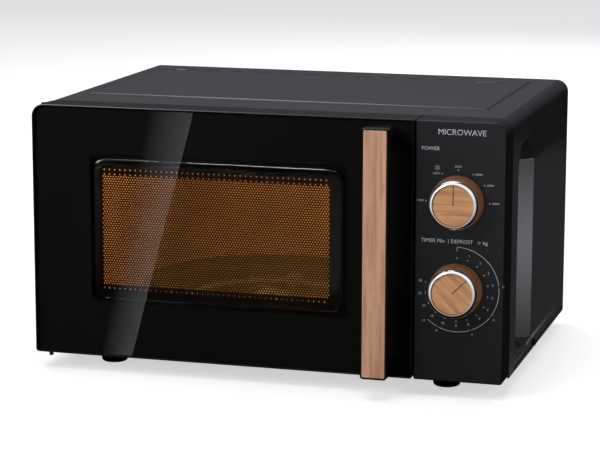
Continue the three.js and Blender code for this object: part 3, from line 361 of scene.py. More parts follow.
def makeFinish(name, look):
    material, tree, shader, place = startMaterial(name)
    broad = noise(tree, place, 17, 4)
    fine = noise(tree, place, look["grain"], 2)
    spread = mapRange(tree, broad, 0.3, 0.7, 0, 1)
    if "spangle" in look:  # crystal flakes of galvanised sheet or pressed mica
        cells = tree.nodes.new("ShaderNodeTexVoronoi")
        cells.inputs["Scale"].default_value = look["spangle"]
        tree.links.new(place, cells.inputs["Vector"])
        shade = tree.nodes.new("ShaderNodeSeparateColor")
        tree.links.new(cells.outputs["Color"], shade.inputs["Color"])
        spread = mapRange(tree, shade.outputs["Red"], 0, 1, 0, 1)
    low = tuple(c * (1 - look["vary"]) for c in look["colour"])
    high = tuple(c * (1 + look["vary"]) for c in look["colour"])
    colour = mixColour(tree, spread, low, high)
    if "speck" in look:  # fleck of the enamel
        dots = mapRange(tree, noise(tree, place, look["speck"], 1), 0.62, 0.72, 0, 0.7)
        colour = mixColour(tree, dots, colour, tuple(c * 0.45 for c in look["colour"]))
    tree.links.new(colour, shader.inputs["Base Color"])
    rough = mapRange(tree, fine, 0.3, 0.7, look["rough"] * 0.86, look["rough"] * 1.14)
    if "shade" in look:  # rougher from one depth to another
        near, far, more = look["shade"]
        depth = tree.nodes.new("ShaderNodeSeparateXYZ")
        tree.links.new(place, depth.inputs[0])
        rough = mathNode(tree, "ADD", rough, mapRange(tree, depth.outputs["Y"], near, far, 0, more))
    tree.links.new(rough, shader.inputs["Roughness"])
    shader.inputs["Metallic"].default_value = look.get("metal", 0)
    shader.inputs["Coat Weight"].default_value = look.get("coat", 0)
    shader.inputs["Specular IOR Level"].default_value = look.get("specular", 0.5)
    shader.inputs["Coat Roughness"].default_value = 0.18
    addBump(tree, shader, fine, look["bump"])
    return material


beech = {"bands": 70, "streaks": 260, "pores": 1100, "stretch": 16}


# Printed beech foil, its grain tilted from upright by a turn in degrees, as seen from the front.
def makeWood(name, centre, turn, light, dark):
    material, tree, shader, place = startMaterial(name)
    mapping = tree.nodes.new("ShaderNodeMapping")
    mapping.vector_type = "TEXTURE"
    mapping.inputs["Location"].default_value = centre
    mapping.inputs["Rotation"].default_value = (0, math.radians(turn), 0)
    mapping.inputs["Scale"].default_value = (1, 1, beech["stretch"])
    tree.links.new(place, mapping.inputs["Vector"])
    along = mapping.outputs["Vector"]
    streaks = noise(tree, along, beech["streaks"], 3)
    pores = noise(tree, along, beech["pores"], 2)
    bands = noise(tree, along, beech["bands"], 2)
    middling = tuple(a * 0.7 + b * 0.3 for a, b in zip(light, dark))
    base = mixColour(tree, mapRange(tree, bands, 0.35, 0.65, 0, 1), light, middling)
    base = mixColour(tree, mapRange(tree, streaks, 0.48, 0.72, 0, 0.75), base, dark)
    base = mixColour(tree, mapRange(tree, pores, 0.58, 0.72, 0, 0.45), base, dark)
    tree.links.new(base, shader.inputs["Base Color"])
    tree.links.new(mapRange(tree, streaks, 0.3, 0.7, 0.42, 0.56), shader.inputs["Roughness"])
    addBump(tree, shader, pores, 0.15)
    return material


# Glass that lets light straight through and mirrors by its angle.
def makeGlass(name, tint, rough, smear):
    material, tree, shader, place = startMaterial(name)
    tree.nodes.remove(shader)
    clear = tree.nodes.new("ShaderNodeBsdfTransparent")
    haze = noise(tree, place, 24, 3)
    colour = mixColour(tree, haze, tuple(c * 0.97 for c in tint), tuple(min(1, c * 1.03) for c in tint))
    tree.links.new(colour, clear.inputs["Color"])
    gloss = tree.nodes.new("ShaderNodeBsdfGlossy")
    tree.links.new(mapRange(tree, haze, 0.3, 0.7, rough, rough + smear), gloss.inputs["Roughness"])
    fresnel = tree.nodes.new("ShaderNodeFresnel")
    fresnel.inputs["IOR"].default_value = 1.5
    bump = tree.nodes.new("ShaderNodeBump")
    bump.inputs["Strength"].default_value = 0.01
    bump.inputs["Distance"].default_value = 0.05 * mm
    tree.links.new(noise(tree, place, 60, 1), bump.inputs["Height"])
    tree.links.new(bump.outputs["Normal"], gloss.inputs["Normal"])
    both = tree.nodes.new("ShaderNodeMixShader")
    side = tree.nodes.new("ShaderNodeNewGeometry")
    outward = mathNode(tree, "SUBTRACT", 1.0, side.outputs["Backfacing"])  # inner faces pass all light on
    tree.links.new(mathNode(tree, "MULTIPLY", fresnel.outputs["Fac"], outward), both.inputs[0])
    tree.links.new(clear.outputs[0], both.inputs[1])
    tree.links.new(gloss.outputs[0], both.inputs[2])
    tree.links.new(both.outputs[0], tree.nodes["Material Output"].inputs["Surface"])
    return material


materials = {slot: makeFinish(slot, look) for slot, look in finishes.items()}
materials["door_glass"] = makeGlass("door_glass", (0.85, 0.84, 0.82), 0.002, 0.008)
materials["clear_glass"] = makeGlass("clear_glass", (0.78, 0.85, 0.83), 0.02, 0.03)
materials["wood_look"] = makeWood("wood_look", (0, 0, 0), 0, (0.80, 0.44, 0.275), (0.44, 0.20, 0.115))


def keep(piece, body, slot, *replaced, material=None):  # a finished piece: placed, painted and riding
    applyPlace(piece)
    piece.data.materials.clear()
    piece.data.materials.append(material or materials[slot])
    for face in piece.data.polygons:
        face.material_index = 0
    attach(piece, body)
    if replaced:
        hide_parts(*replaced)
    return piece


print("finishes made:", len(materials))

# Folded steel cover, with a hand scoop and a raised field on each side and a raised field on top

cover = {
    "sheet": 0.8 * mm, "topRound": 12 * mm, "swell": 2.5 * mm, "rise": 1.5 * mm,
    "scoop": [29.4 * mm, 47.4 * mm, 80.4 * mm, 95.4 * mm],  # from the front edge: lip, floor, floor's end, riser's top
    "scoopDepth": 12 * mm, "fieldEnd": [24 * mm, 32 * mm],  # from the back edge: the field's foot and its top
    "fieldLow": [11 * mm, 19 * mm], "fieldHigh": [50.5 * mm, 26.5 * mm],  # from the bottom edge and from the top
    "topFieldX": [20 * mm, 24 * mm, 36 * mm, 32 * mm], "topFieldY": [51.4 * mm, 55.4 * mm, 33 * mm, 29 * mm],
    "crease": 3 * mm, "topCrease": 1.7 * mm,
    "hoods": ((157 * mm, 57 * mm, 17 * mm, 6 * mm), (-178 * mm, 45 * mm, 10 * mm, 5 * mm)), "hoodRise": 1.3 * mm,
    "hoodRoot": 0.3 * mm, "hoodTurns": (0, 20, 40, 60, 75), "hoodSteps": 40,
    "ventCount": 12, "ventPitch": 27 * mm, "ventLength": 16 * mm, "ventWidth": 2.2 * mm, "ventFromBack": 44.9 * mm,
    "ventDeep": 5 * mm,
    "beadLow": 2.6 * mm, "beadHigh": 7.2 * mm, "bead": 0.9 * mm, "beadSlope": 1.2 * mm, "beadCrease": 0.5 * mm,
    "beadEnds": [26 * mm, 29 * mm, 12 * mm, 9 * mm],  # the first two from the front edge, the others from the back
}


def makeCover():
    low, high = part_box("cabinet_cover")
    half = high.x - cover["swell"]
    top = high.z - cover["rise"]
    piece = block("cabinetCover", (-half, low.y, low.z), (half, high.y, top))
    openEdit(piece)
    choose("FACE", lambda face: abs(face.normal.y) > 0.9 or face.normal.z < -0.9)
    bpy.ops.mesh.delete(type="FACE")
    scoop = [low.y + d for d in cover["scoop"]]
    fieldEnd = [high.y - d for d in cover["fieldEnd"]]
    fieldLow = [low.z + d for d in cover["fieldLow"]]
    fieldHigh = [top - d for d in cover["fieldHigh"]]
    fromEnds = lambda start, end, d: [start + d[0], start + d[1], end - d[2], end - d[3]]
    fieldX = fromEnds(-half, half, cover["topFieldX"])
    fieldY = fromEnds(low.y, high.y, cover["topFieldY"])
    slope = cover["beadSlope"]
    bead = fromEnds(low.z + cover["beadLow"], low.z + cover["beadHigh"], (0, slope, slope, 0))
    beadY = fromEnds(low.y, high.y, cover["beadEnds"])

    def slices(places, normal, test):
        for place in places:
            choose("FACE", test)
            bpy.ops.mesh.bisect(plane_co=Vector(normal) * place, plane_no=normal)

    onSide = lambda face: abs(face.normal.x) > 0.5
    onTop = lambda face: face.normal.z > 0.5
    slices(scoop + fieldEnd[::-1] + beadY, (0, 1, 0), onSide)
    slices(fieldLow + fieldHigh[::-1] + bead, (0, 0, 1), onSide)
    slices(fieldX, (1, 0, 0), onTop)
    slices(fieldY, (0, 1, 0), onTop)
    print("cover sliced:", len(bmesh.from_edit_mesh(piece.data).verts), "points")
    near = 0.05 * mm
    between = lambda v, a, b: a - near < v < b + near
    for side in (-1, 1):
        onWall = lambda v: abs(v.co.x - side * half) < near
        tall = lambda v: between(v.co.z, fieldLow[1], fieldHigh[0])
        choose("VERT", lambda v: onWall(v) and tall(v) and between(v.co.y, scoop[1], scoop[2]))
        bpy.ops.transform.translate(value=(-side * cover["scoopDepth"], 0, 0))
        choose("VERT", lambda v: onWall(v) and tall(v) and between(v.co.y, scoop[3], fieldEnd[1]))
        bpy.ops.transform.translate(value=(side * cover["swell"], 0, 0))
        onBead = lambda v: between(v.co.z, bead[1], bead[2]) and between(v.co.y, beadY[1], beadY[2])
        choose("VERT", lambda v: onWall(v) and onBead(v))
        bpy.ops.transform.translate(value=(-side * cover["bead"], 0, 0))
    inField = lambda v: between(v.co.x, fieldX[1], fieldX[2]) and between(v.co.y, fieldY[1], fieldY[2])
    choose("VERT", lambda v: abs(v.co.z - top) < near and inField(v))
    bpy.ops.transform.translate(value=(0, 0, cover["rise"]))

    def creased(edge):
        return len(edge.link_faces) == 2 and edge.calc_face_angle() > math.radians(2.5)

    def corner(edge):
        return all(abs(v.co.z - top) < near and abs(abs(v.co.x) - half) < near for v in edge.verts)

    def isBead(edge):
        return all(v.co.z < bead[3] + near for v in edge.verts)

    isTop = lambda edge: all(v.co.z > top - near for v in edge.verts)
    choose("EDGE", lambda e: creased(e) and not corner(e) and not isTop(e) and not isBead(e))
    bpy.ops.mesh.bevel(offset=cover["crease"], segments=4, affect="EDGES", clamp_overlap=True)
    choose("EDGE", lambda e: creased(e) and not corner(e) and isTop(e))
    bpy.ops.mesh.bevel(offset=cover["topCrease"], segments=3, affect="EDGES", clamp_overlap=True)
    choose("EDGE", lambda e: creased(e) and isBead(e))
    bpy.ops.mesh.bevel(offset=cover["beadCrease"], segments=2, affect="EDGES", clamp_overlap=True)
    choose("EDGE", corner)
    bpy.ops.mesh.bevel(offset=cover["topRound"], segments=10, affect="EDGES", clamp_overlap=True)
    bpy.ops.mesh.select_all(action="SELECT")
    bpy.ops.mesh.quads_convert_to_tris(ngon_method="BEAUTY", quad_method="BEAUTY")
    closeEdit()
    addModifier(piece, "SOLIDIFY", thickness=cover["sheet"], offset=-1, use_even_offset=True, use_quality_normals=True)
    return piece, half, top


cabinetCover, coverHalf, coverTop = makeCover()


def ventCutters():
    first = middle("turntable_plate").x - (cover["ventCount"] - 1) * cover["ventPitch"] / 2
    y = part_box("cabinet_cover")[1].y - cover["ventFromBack"]
    run, half = cover["ventLength"] / 2, cover["ventWidth"] / 2
    cutters = []
    for i in range(cover["ventCount"]):
        x = first + i * cover["ventPitch"]
        outline = roundRect(x - run, x + run, y - half, y + half, half * 0.95, 4)
        rings = [[Vector((u, v, coverTop + way * cover["ventDeep"])) for u, v in outline] for way in (-1, 1)]
        cutters.append(loft("vent", rings))
    return joined("vents", *cutters)


def makeHoods():  # low stamped domes: place across, from the back edge, half length, half width
    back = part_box("cabinet_cover")[1].y
    root, count = coverTop + cover["rise"] - cover["hoodRoot"], cover["hoodSteps"]
    domes = []
    for x, fromBack, long, wide in cover["hoods"]:
        rings = []
        for degrees in cover["hoodTurns"]:
            a = math.radians(degrees)
            run, across = long * math.cos(a), wide * math.cos(a)
            z = root + (cover["hoodRise"] + cover["hoodRoot"]) * math.sin(a)
            rings.append([Vector((x + run * math.cos(t), back - fromBack + across * math.sin(t), z))
                          for t in (math.tau * i / count for i in range(count))])
        domes.append(loft("hood", rings))
    return joined("hoods", *domes)


carve(cabinetCover, ventCutters(), solver="FAST")  # the exact solver leaves splits in so thin a sheet
carve(cabinetCover, makeHoods(), operation="UNION", solver="FAST")
smooth(cabinetCover, 28)
keep(cabinetCover, "cabinet", "cover_paint", "cabinet_cover")
print("cover made")

# Screws that hold the cover, with a crossed recess

screw = {
    "head": 3.6 * mm, "rise": 1.7 * mm, "shank": 1.9 * mm, "length": 7 * mm,
    "slot": 0.9 * mm, "slotLong": 3.8 * mm, "slotDeep": 1 * mm,
}


def makeScrew(name, axis, way, centre, *replaced, size=1.0, material=None):  # way: outward along the axis
    head, rise, shank = screw["head"] * size, screw["rise"] * size, screw["shank"] * size
    profile = [(0, -screw["length"]), (shank, -screw["length"]), (shank, 0), (head, 0), (head, rise * 0.35),
               (head * 0.93, rise * 0.62), (head * 0.76, rise * 0.85), (head * 0.45, rise * 0.97), (0, rise)]
    piece = lathe(name, "z", (0, 0, 0), profile, 24)
    floor = rise - screw["slotDeep"]
    for wide, long in ((screw["slot"], screw["slotLong"]), (screw["slotLong"], screw["slot"])):
        x, y = wide * size / 2, long * size / 2
        carve(piece, block("slot", (-x, -y, floor), (x, y, rise * 2)))
    piece.rotation_euler = {"x": (0, way * math.pi / 2, 0), "y": (-way * math.pi / 2, 0, 0)}[axis]
    piece.location = centre
    applyPlace(piece)
    smooth(piece, 40)
    return keep(piece, "cabinet", "fasteners", *replaced, material=material)


materials["darkZinc"] = makeFinish("darkZinc", {"colour": (0.05, 0.05, 0.055), "rough": 0.42, "metal": 0.7,
                                                "grain": 1200, "bump": 0.1, "vary": 0.2})
for side, way in (("left", -1), ("right", 1)):
    low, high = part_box(f"side_screw_{side}")
    seat = (high.x if way > 0 else low.x) - way * screw["rise"]
    makeScrew(f"sideScrew{side.title()}", "x", way, (seat, (low.y + high.y) / 2, (low.z + high.z) / 2),
              f"side_screw_{side}", material=materials["darkZinc"])
print("side screws made")

# Rubber feet with ribs round them

foot = {
    "ribs": 3, "rib": 0.5 * mm, "ribFirst": 3 * mm, "ribPitch": 3.2 * mm, "dish": 1.2 * mm,
    "spigot": 3.2 * mm, "spigotRound": 0.8 * mm, "gap": 0.3 * mm,
}


def makeFoot(node):
    low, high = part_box(node)
    radius = (high.x - low.x) / 2
    waist, spigot, turn = radius - foot["rib"], foot["spigot"], foot["spigotRound"]
    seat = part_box("base_plate")[0].z - foot["gap"]
    profile = [(0, foot["dish"]), (radius - 5 * mm, foot["dish"]), (radius - 4.4 * mm, 0.2 * mm), (radius - 4 * mm, 0),
               (radius - 2.2 * mm, 0), (radius - 1.2 * mm, 0.5 * mm), (radius - 0.3 * mm, 1.8 * mm)]
    for i in range(foot["ribs"]):
        z = foot["ribFirst"] + i * foot["ribPitch"]
        profile += [(waist, z), (radius, z + 0.5 * mm), (radius, z + 1.5 * mm), (waist, z + 2 * mm)]
    profile += [(radius - 0.4 * mm, seat - 0.5 * mm), (radius - 0.9 * mm, seat), (spigot, seat),
                (spigot, high.z - turn), (spigot - turn, high.z), (0, high.z)]
    centre = (low + high) / 2
    piece = lathe(node, "z", (centre.x, centre.y, 0), profile, 40)
    names = node.split("_")
    piece.name = piece.data.name = names[0] + "".join(n.title() for n in names[1:])
    smooth(piece, 40)
    return keep(piece, "cabinet", "rubber", node)


for node in ("foot_front_left", "foot_front_right", "foot_rear_left", "foot_rear_right"):
    makeFoot(node)
print("feet made")

# Sheet steel chassis

chassis = {
    "sheet": 0.8 * mm, "cutPast": 2 * mm,
    "frameInset": 2 * mm, "frameRadii": [2 * mm, 2 * mm, 10 * mm, 10 * mm], "openingRadius": 7 * mm, "ease": 0.2 * mm,
    "bayInset": (7.5 * mm, 10 * mm, 14 * mm, 16 * mm), "bayRadius": 4 * mm,  # inside the control panel's edges
    "hookSlot": (5 * mm, 9 * mm, 12 * mm), "hookEnds": (14 * mm, 10 * mm),  # half width, below and above each hook
    "hingeSlot": (7 * mm, 0.3 * mm), "hingePlate": 1.6 * mm, "hingeEnd": 9 * mm,
    "rearRadii": [0.5 * mm, 0.5 * mm, 11.2 * mm, 11.2 * mm], "inlet": 7.3 * mm,
    "slotHalf": 1.6 * mm, "slotRows": 7, "slotPitch": 11 * mm, "slotRun": (3 * mm, 34 * mm),
    "topSlots": 6, "topPitch": 20 * mm, "topFirst": 40 * mm, "topSlot": (5 * mm, 34 * mm, 12 * mm, 2.4 * mm),
    "screwEdge": 9 * mm, "screwInset": 90 * mm, "screwBelow": (30 * mm, 70 * mm), "screwAbove": 40 * mm,
    "screwSize": 0.85,
}


def hookHeights():
    low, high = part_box("latch_hook")
    below, above = chassis["hookEnds"]
    return low.z + below, high.z - above


def hingePlace():  # the pin across and in depth, and the underside of the upper hinge's plate
    low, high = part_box("hinge_upper")
    return (low.x + high.x) / 2, low.y + (high.x - low.x) / 2, high.z - chassis["hingeEnd"] - chassis["hingePlate"]


def makeFrontFrame():
    low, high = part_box("front_frame")
    piece = plate("frontFrame", low.y, high.y, boxOutline(low, high, chassis["frameInset"], chassis["frameRadii"], 10))
    y0, y1 = low.y - chassis["cutPast"], high.y + chassis["cutPast"]
    linerLow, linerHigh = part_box("cavity_liner")
    cutters = [plate("opening", y0, y1, boxOutline(linerLow, linerHigh, chassis["sheet"], chassis["openingRadius"]))]
    panelLow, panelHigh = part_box("control_panel")
    left, right, bottom, top = chassis["bayInset"]
    bay = (panelLow.x + left, panelHigh.x - right, panelLow.z + bottom, panelHigh.z - top)
    cutters.append(plate("bay", y0, y1, roundRect(*bay, chassis["bayRadius"], 6)))
    hook, (half, under, over) = middle("latch_hook"), chassis["hookSlot"]
    for z in hookHeights():
        slot = roundRect(hook.x - half, hook.x + half, z - under, z + over, 1 * mm, 4)
        cutters.append(plate("hookSlot", y0, y1, slot))
    (pin, _, plateZ), (wide, gap) = hingePlace(), chassis["hingeSlot"]
    plateTop = plateZ + chassis["hingePlate"]
    cutters.append(block("hingeSlot", (pin - wide, y0, plateZ - gap), (pin + wide, y1, plateTop + gap)))
    carve(piece, joined("cutters", *cutters))
    soften(piece, chassis["ease"], 1, 60)
    smooth(piece, 25)
    return keep(piece, "cabinet", "frame_paint", "front_frame")


def makeRearPanel():
    low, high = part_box("rear_panel")
    piece = plate("rearPanel", low.y, high.y, boxOutline(low, high, 0, chassis["rearRadii"], 10))
    y0, y1 = low.y - 1 * mm, high.y + 1 * mm
    fan, inlet = middle("fan_blade"), middle("cord_bushing")
    slots = []
    half, (near, far) = chassis["slotHalf"], chassis["slotRun"]
    for row in range(chassis["slotRows"]):
        z = fan.z + (row - chassis["slotRows"] // 2) * chassis["slotPitch"]
        for x0, x1 in ((fan.x - far, fan.x - near), (fan.x + near, fan.x + far)):
            slots.append(plate("slot", y0, y1, roundRect(x0, x1, z - half, z + half, half * 0.95, 4)))
    linerLow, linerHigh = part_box("cavity_liner")
    ceiling = linerHigh.z - chassis["sheet"]
    wide, bottom, top, radius = chassis["topSlot"]
    for i in range(chassis["topSlots"]):
        x = linerLow.x + chassis["sheet"] + chassis["topFirst"] + i * chassis["topPitch"]
        slots.append(plate("slot", y0, y1, roundRect(x, x + wide, ceiling - bottom, ceiling - top, radius, 4)))
    slots.append(rod("inlet", "y", (inlet.x, high.y, inlet.z), chassis["inlet"], -5 * mm, 5 * mm, 40))
    carve(piece, joined("slots", *slots))
    smooth(piece, 25)
    keep(piece, "cabinet", "chassis_steel", "rear_panel")
    edge, inset, above = chassis["screwEdge"], chassis["screwInset"], chassis["screwAbove"]
    leftBelow, rightBelow = chassis["screwBelow"]
    places = [(low.x + edge, low.z + leftBelow), (low.x + edge, high.z - above),
              (high.x - edge, low.z + rightBelow), (high.x - edge, high.z - above),
              (low.x + inset, high.z - edge), (high.x - inset, high.z - edge),
              (low.x + inset, low.z + edge), (high.x - inset, low.z + edge)]
    for i, (x, z) in enumerate(places):
        makeScrew(f"rearScrew{i + 1}", "y", 1, (x, high.y, z), size=chassis["screwSize"])


makeFrontFrame()
makeRearPanel()
print("chassis made")

# Door: moulded frame, tinted glass with a printed border, stamped pan with the perforated window behind it

door = {
    "lip": 1.6 * mm, "lipEdge": 0.45 * mm, "frontRound": 0.7 * mm, "seat": 3.7 * mm, "web": 5.7 * mm, "rim": 2.4 * mm,
    "radii": (3 * mm, 2 * mm, 2 * mm, 12 * mm), "hingeRound": 8 * mm, "opening": (3 * mm, 10 * mm),
    "boss": 5.5 * mm, "bossLong": 12 * mm, "bore": 2.7 * mm, "plateGap": 0.3 * mm, "sweep": 9 * mm,
    "spigot": 3.5 * mm, "spigotHole": 3.8 * mm, "spigotEnd": 8.5 * mm, "glassEase": 0.5 * mm,
    "border": (57 * mm, 62.5 * mm, 52 * mm, 45 * mm), "borderRadius": 5 * mm,  # from the left, right, foot and top
    "borderEdge": 0.3 * mm, "borderGap": 0.05 * mm, "borderThick": 0.18 * mm,
}
pan = {
    "window": (60 * mm, 68 * mm, 57 * mm, 51.5 * mm),  # from the door's left, right, foot and top
    "slope": (1.5 * mm, 4.5 * mm, 3 * mm, 5.5 * mm), "deep": 12 * mm, "radius": 12 * mm, "rimRound": 1.8 * mm,
    "corner": 4 * mm, "meshInset": (2.3 * mm, 14.7 * mm, 4.6 * mm, 10.1 * mm), "sheet": 0.8 * mm,
}
screen = {"pitch": 2.6 * mm, "hole": 0.68 * mm, "sheet": 0.35 * mm, "gap": 0.1 * mm, "hidden": 2}
doorLow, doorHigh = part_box("door_frame")
doorFront = doorLow.y


def doorOutline(inset, left=0):
    radii = [max(r - inset, 0.4 * mm) for r in door["radii"]]
    return roundRect(doorLow.x + inset + left, doorHigh.x - inset, doorLow.z + inset, doorHigh.z - inset, radii, 12)


def windowOutline(spread, radius, more=(0, 0, 0, 0)):
    left, right, bottom, top = [w - spread + m for w, m in zip(pan["window"], more)]
    return roundRect(doorLow.x + left, doorHigh.x - right, doorLow.z + bottom, doorHigh.z - top, radius, 12)


def spigotPlaces():  # where the handle's posts enter the door
    low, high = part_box("handle_bar")
    return [((low.x + high.x) / 2, doorFront, z) for z in (low.z + door["spigotEnd"], high.z - door["spigotEnd"])]


def makeDoorFrame():
    lip, edge, turn, corner = door["lip"], door["lipEdge"], door["frontRound"], door["hingeRound"]
    opening = windowOutline(*door["opening"])
    seat, web = doorFront + door["seat"], doorFront + door["web"]
    rings = [upright(seat, opening), upright(seat, doorOutline(lip)),
             upright(doorFront + edge, doorOutline(lip)), upright(doorFront, doorOutline(lip - edge)),
             upright(doorFront, doorOutline(turn)), upright(doorFront + turn * 0.3, doorOutline(turn * 0.3)),
             upright(doorFront + turn, doorOutline(0))]
    for i in range(7):  # outer corner beside the hinge is rounded to clear the oven's frame
        angle = math.radians(i * 15)
        outline = doorOutline(0, corner * (1 - math.cos(angle)))
        rings.append(upright(doorHigh.y - corner * (1 - math.sin(angle)), outline))
    inside = doorOutline(door["rim"], corner - 1 * mm)
    rings += [upright(doorHigh.y, inside), upright(web, inside), upright(web, opening)]
    frameBody = loft("doorFrame", rings, closed=True)
    pin, pinY, plateZ = hingePlace()
    plateTop = plateZ + chassis["hingePlate"] + door["plateGap"]
    reach = door["bossLong"]
    spans = ((plateTop, doorHigh.z - 1 * mm), (doorLow.z + 0.5 * mm, doorLow.z + reach))
    weld(frameBody, *[rod("boss", "z", (pin, pinY, 0), door["boss"], a, b) for a, b in spans])
    sweep = block("sweep", (doorLow.x - 1 * mm, web, plateZ - 1 * mm),
                  (pin + door["sweep"], doorHigh.y + 1 * mm, plateTop))
    spans = ((plateZ, doorHigh.z - 3 * mm), (doorLow.z - 1 * mm, doorLow.z + reach - 1 * mm))
    bores = [rod("bore", "z", (pin, pinY, 0), door["bore"], a, b) for a, b in spans]
    spigots = [rod("spigotHole", "y", place, door["spigotHole"], 0, 12 * mm) for place in spigotPlaces()]
    carve(frameBody, sweep, *bores, *spigots)
    smooth(frameBody, 35)
    return keep(frameBody, "door", "door_plastic", "door_frame")


makeDoorFrame()


def makeDoorGlass():
    low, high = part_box("door_glass")
    inset, ease = low.x - doorLow.x, door["glassEase"]
    pane = loft("doorGlass", [upright(high.y, doorOutline(inset + ease)), upright(high.y - ease, doorOutline(inset)),
                              upright(low.y + ease, doorOutline(inset)), upright(low.y, doorOutline(inset + ease))])
    carve(pane, *[rod("spigotHole", "y", place, door["spigotHole"], -5 * mm, 12 * mm, 32) for place in spigotPlaces()])
    smooth(pane, 25)
    keep(pane, "door", "door_glass", "door_glass")
    near = high.y + door["borderGap"]
    far = near + door["borderThick"]
    outer = doorOutline(inset + door["borderEdge"])
    left, right, bottom, top = door["border"]
    window = (doorLow.x + left, doorHigh.x - right, doorLow.z + bottom, doorHigh.z - top)
    window = roundRect(*window, door["borderRadius"], 12)
    rings = [upright(near, outer), upright(near, window), upright(far, window), upright(far, outer)]
    border = loft("glassBorder", rings, closed=True)
    smooth(border, 25)
    return keep(border, "door", "door_plastic", material=materials["borderInk"])


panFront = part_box("door_screen")[0].y
materials["panEnamel"] = makeFinish("panEnamel", {
    "colour": (0.004, 0.004, 0.0045), "rough": 0.14, "grain": 300, "bump": 0.0, "vary": 0.15, "specular": 0.4,
    "shade": (panFront + pan["rimRound"] * 0.6, panFront + pan["rimRound"] * 1.3, 0.6)})  # dull behind the rolled rim
materials["borderInk"] = makeFinish("borderInk", {
    "colour": (0.004, 0.004, 0.004), "rough": 0.6, "grain": 1500, "bump": 0.03, "vary": 0.2})
makeDoorGlass()


def screenGrid():  # the middle of the perforated field and its count of holes
    left, right, bottom, top = [a + b for a, b in zip(pan["window"], pan["meshInset"])]
    x0, x1, z0, z1 = doorLow.x + left, doorHigh.x - right, doorLow.z + bottom, doorHigh.z - top
    rise = screen["pitch"] * math.sqrt(3) / 2
    return (x0 + x1) / 2, (z0 + z1) / 2, round((x1 - x0) / screen["pitch"] - 0.5), round((z1 - z0) / rise)


def makeScreenPan():
    low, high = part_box("door_screen")
    floor = low.y + pan["deep"]
    turn, radius = pan["rimRound"], pan["radius"]
    panOutline = lambda inset: boxOutline(low, high, inset, max(pan["corner"] - inset, 1 * mm), 12)
    rings = [upright(high.y, panOutline(0)), upright(low.y + turn, panOutline(0))]
    for degrees in (30, 60, 90):  # rolled outer edge
        a = math.radians(degrees)
        rings.append(upright(low.y + turn * (1 - math.sin(a)), panOutline(turn * (1 - math.cos(a)))))
    for degrees in (0, 22.5, 45, 67.5, 90):  # rolled edge into the pocket
        a = math.radians(degrees)
        spread = turn * (1 - math.sin(a))
        rings.append(upright(low.y + turn * (1 - math.cos(a)), windowOutline(spread, radius + spread)))
    for above, less, share in ((1.2 * mm, 2 * mm, 0.85), (0.3 * mm, 2.6 * mm, 0.97), (0, 3 * mm, 1.05)):
        rings.append(upright(floor - above, windowOutline(0, radius - less, [s * share for s in pan["slope"]])))
    x, z, columns, rows = screenGrid()
    wide, tall = (columns + 0.5) * screen["pitch"] / 2, rows * screen["pitch"] * math.sqrt(3) / 4
    rings.append(upright(floor, roundRect(x - wide, x + wide, z - tall, z + tall, 1 * mm, 12)))
    tray = loft("screenPan", rings)
    openEdit(tray)
    choose("FACE", lambda f: len(f.verts) > 8)  # caps of the loft
    bpy.ops.mesh.delete(type="ONLY_FACE")
    bpy.ops.mesh.select_all(action="SELECT")
    bpy.ops.mesh.normals_make_consistent(inside=False)
    closeEdit()
    front = sum(f.normal.y * f.area for f in tray.data.polygons)
    if front > 0:
        openEdit(tray, whole=True)
        bpy.ops.mesh.flip_normals()
        closeEdit()
    addModifier(tray, "SOLIDIFY", thickness=pan["sheet"], offset=-1, use_even_offset=True)
    smooth(tray, 35)
    keep(tray, "door", "frame_paint", "door_screen", material=materials["panEnamel"])
    return floor


screenFloor = makeScreenPan()


def makeScreenSheet():
    pitch = screen["pitch"]
    rise = pitch * math.sqrt(3) / 2
    middleX, middleZ, columns, rows = screenGrid()
    hidden = screen["hidden"]  # rows and columns of closed cells behind the pan, on each side
    pickObjects()
    bpy.ops.mesh.primitive_circle_add(vertices=6, radius=pitch / math.sqrt(3), fill_type="NGON")
    cell = named("screenSheet")
    openEdit(cell, whole=True)
    bpy.ops.mesh.inset(thickness=pitch / 2 - screen["hole"])
    bpy.ops.mesh.delete(type="FACE")
    closeEdit()
    other = cell.copy()
    other.data = cell.data.copy()
    bpy.context.scene.collection.objects.link(other)
    other.location = (pitch / 2, rise, 0)
    applyPlace(other)
    joined("screenSheet", cell, other)
    for count, step in ((columns + 2 * hidden, (pitch, 0, 0)), (math.ceil(rows / 2) + hidden, (0, rise * 2, 0))):
        addModifier(cell, "ARRAY", count=count, use_relative_offset=False, use_constant_offset=True,
                    constant_offset_displace=step)
    openEdit(cell, whole=True)
    bpy.ops.mesh.remove_doubles(threshold=0.02 * mm)

    # Holes beyond the field, one whole row near its top and bottom, and every other hole beside that row.
    def closed(edge):
        if len(edge.link_faces) != 1:
            return False
        ring = edge.link_faces[0].calc_center_median()
        row = round(ring.y / rise)
        column = round(ring.x / pitch - (row % 2) / 2)
        field = row - hidden
        if not (0 <= field < rows and hidden <= column < columns + hidden):
            return True
        return field in (1, rows - 2) or (field in (0, rows - 1, rows - 3) and column % 2 == 1)

    choose("EDGE", closed)
    bpy.ops.mesh.fill_holes(sides=6)
    closeEdit()
    cell.rotation_euler = (math.pi / 2, 0, 0)
    wide, tall = (2 * hidden + columns - 0.5) * pitch, (2 * hidden + rows - 1) * rise
    behind = screenFloor + pan["sheet"] + screen["sheet"] + screen["gap"]
    cell.location = (middleX - wide / 2, behind, middleZ - tall / 2)
    applyPlace(cell)
    addModifier(cell, "SOLIDIFY", thickness=screen["sheet"], offset=-1)
    print("screen sheet:", columns, "by", rows, "holes,", len(cell.data.polygons), "faces")
    return keep(cell, "door", "frame_paint", material=materials["panEnamel"])


makeScreenSheet()


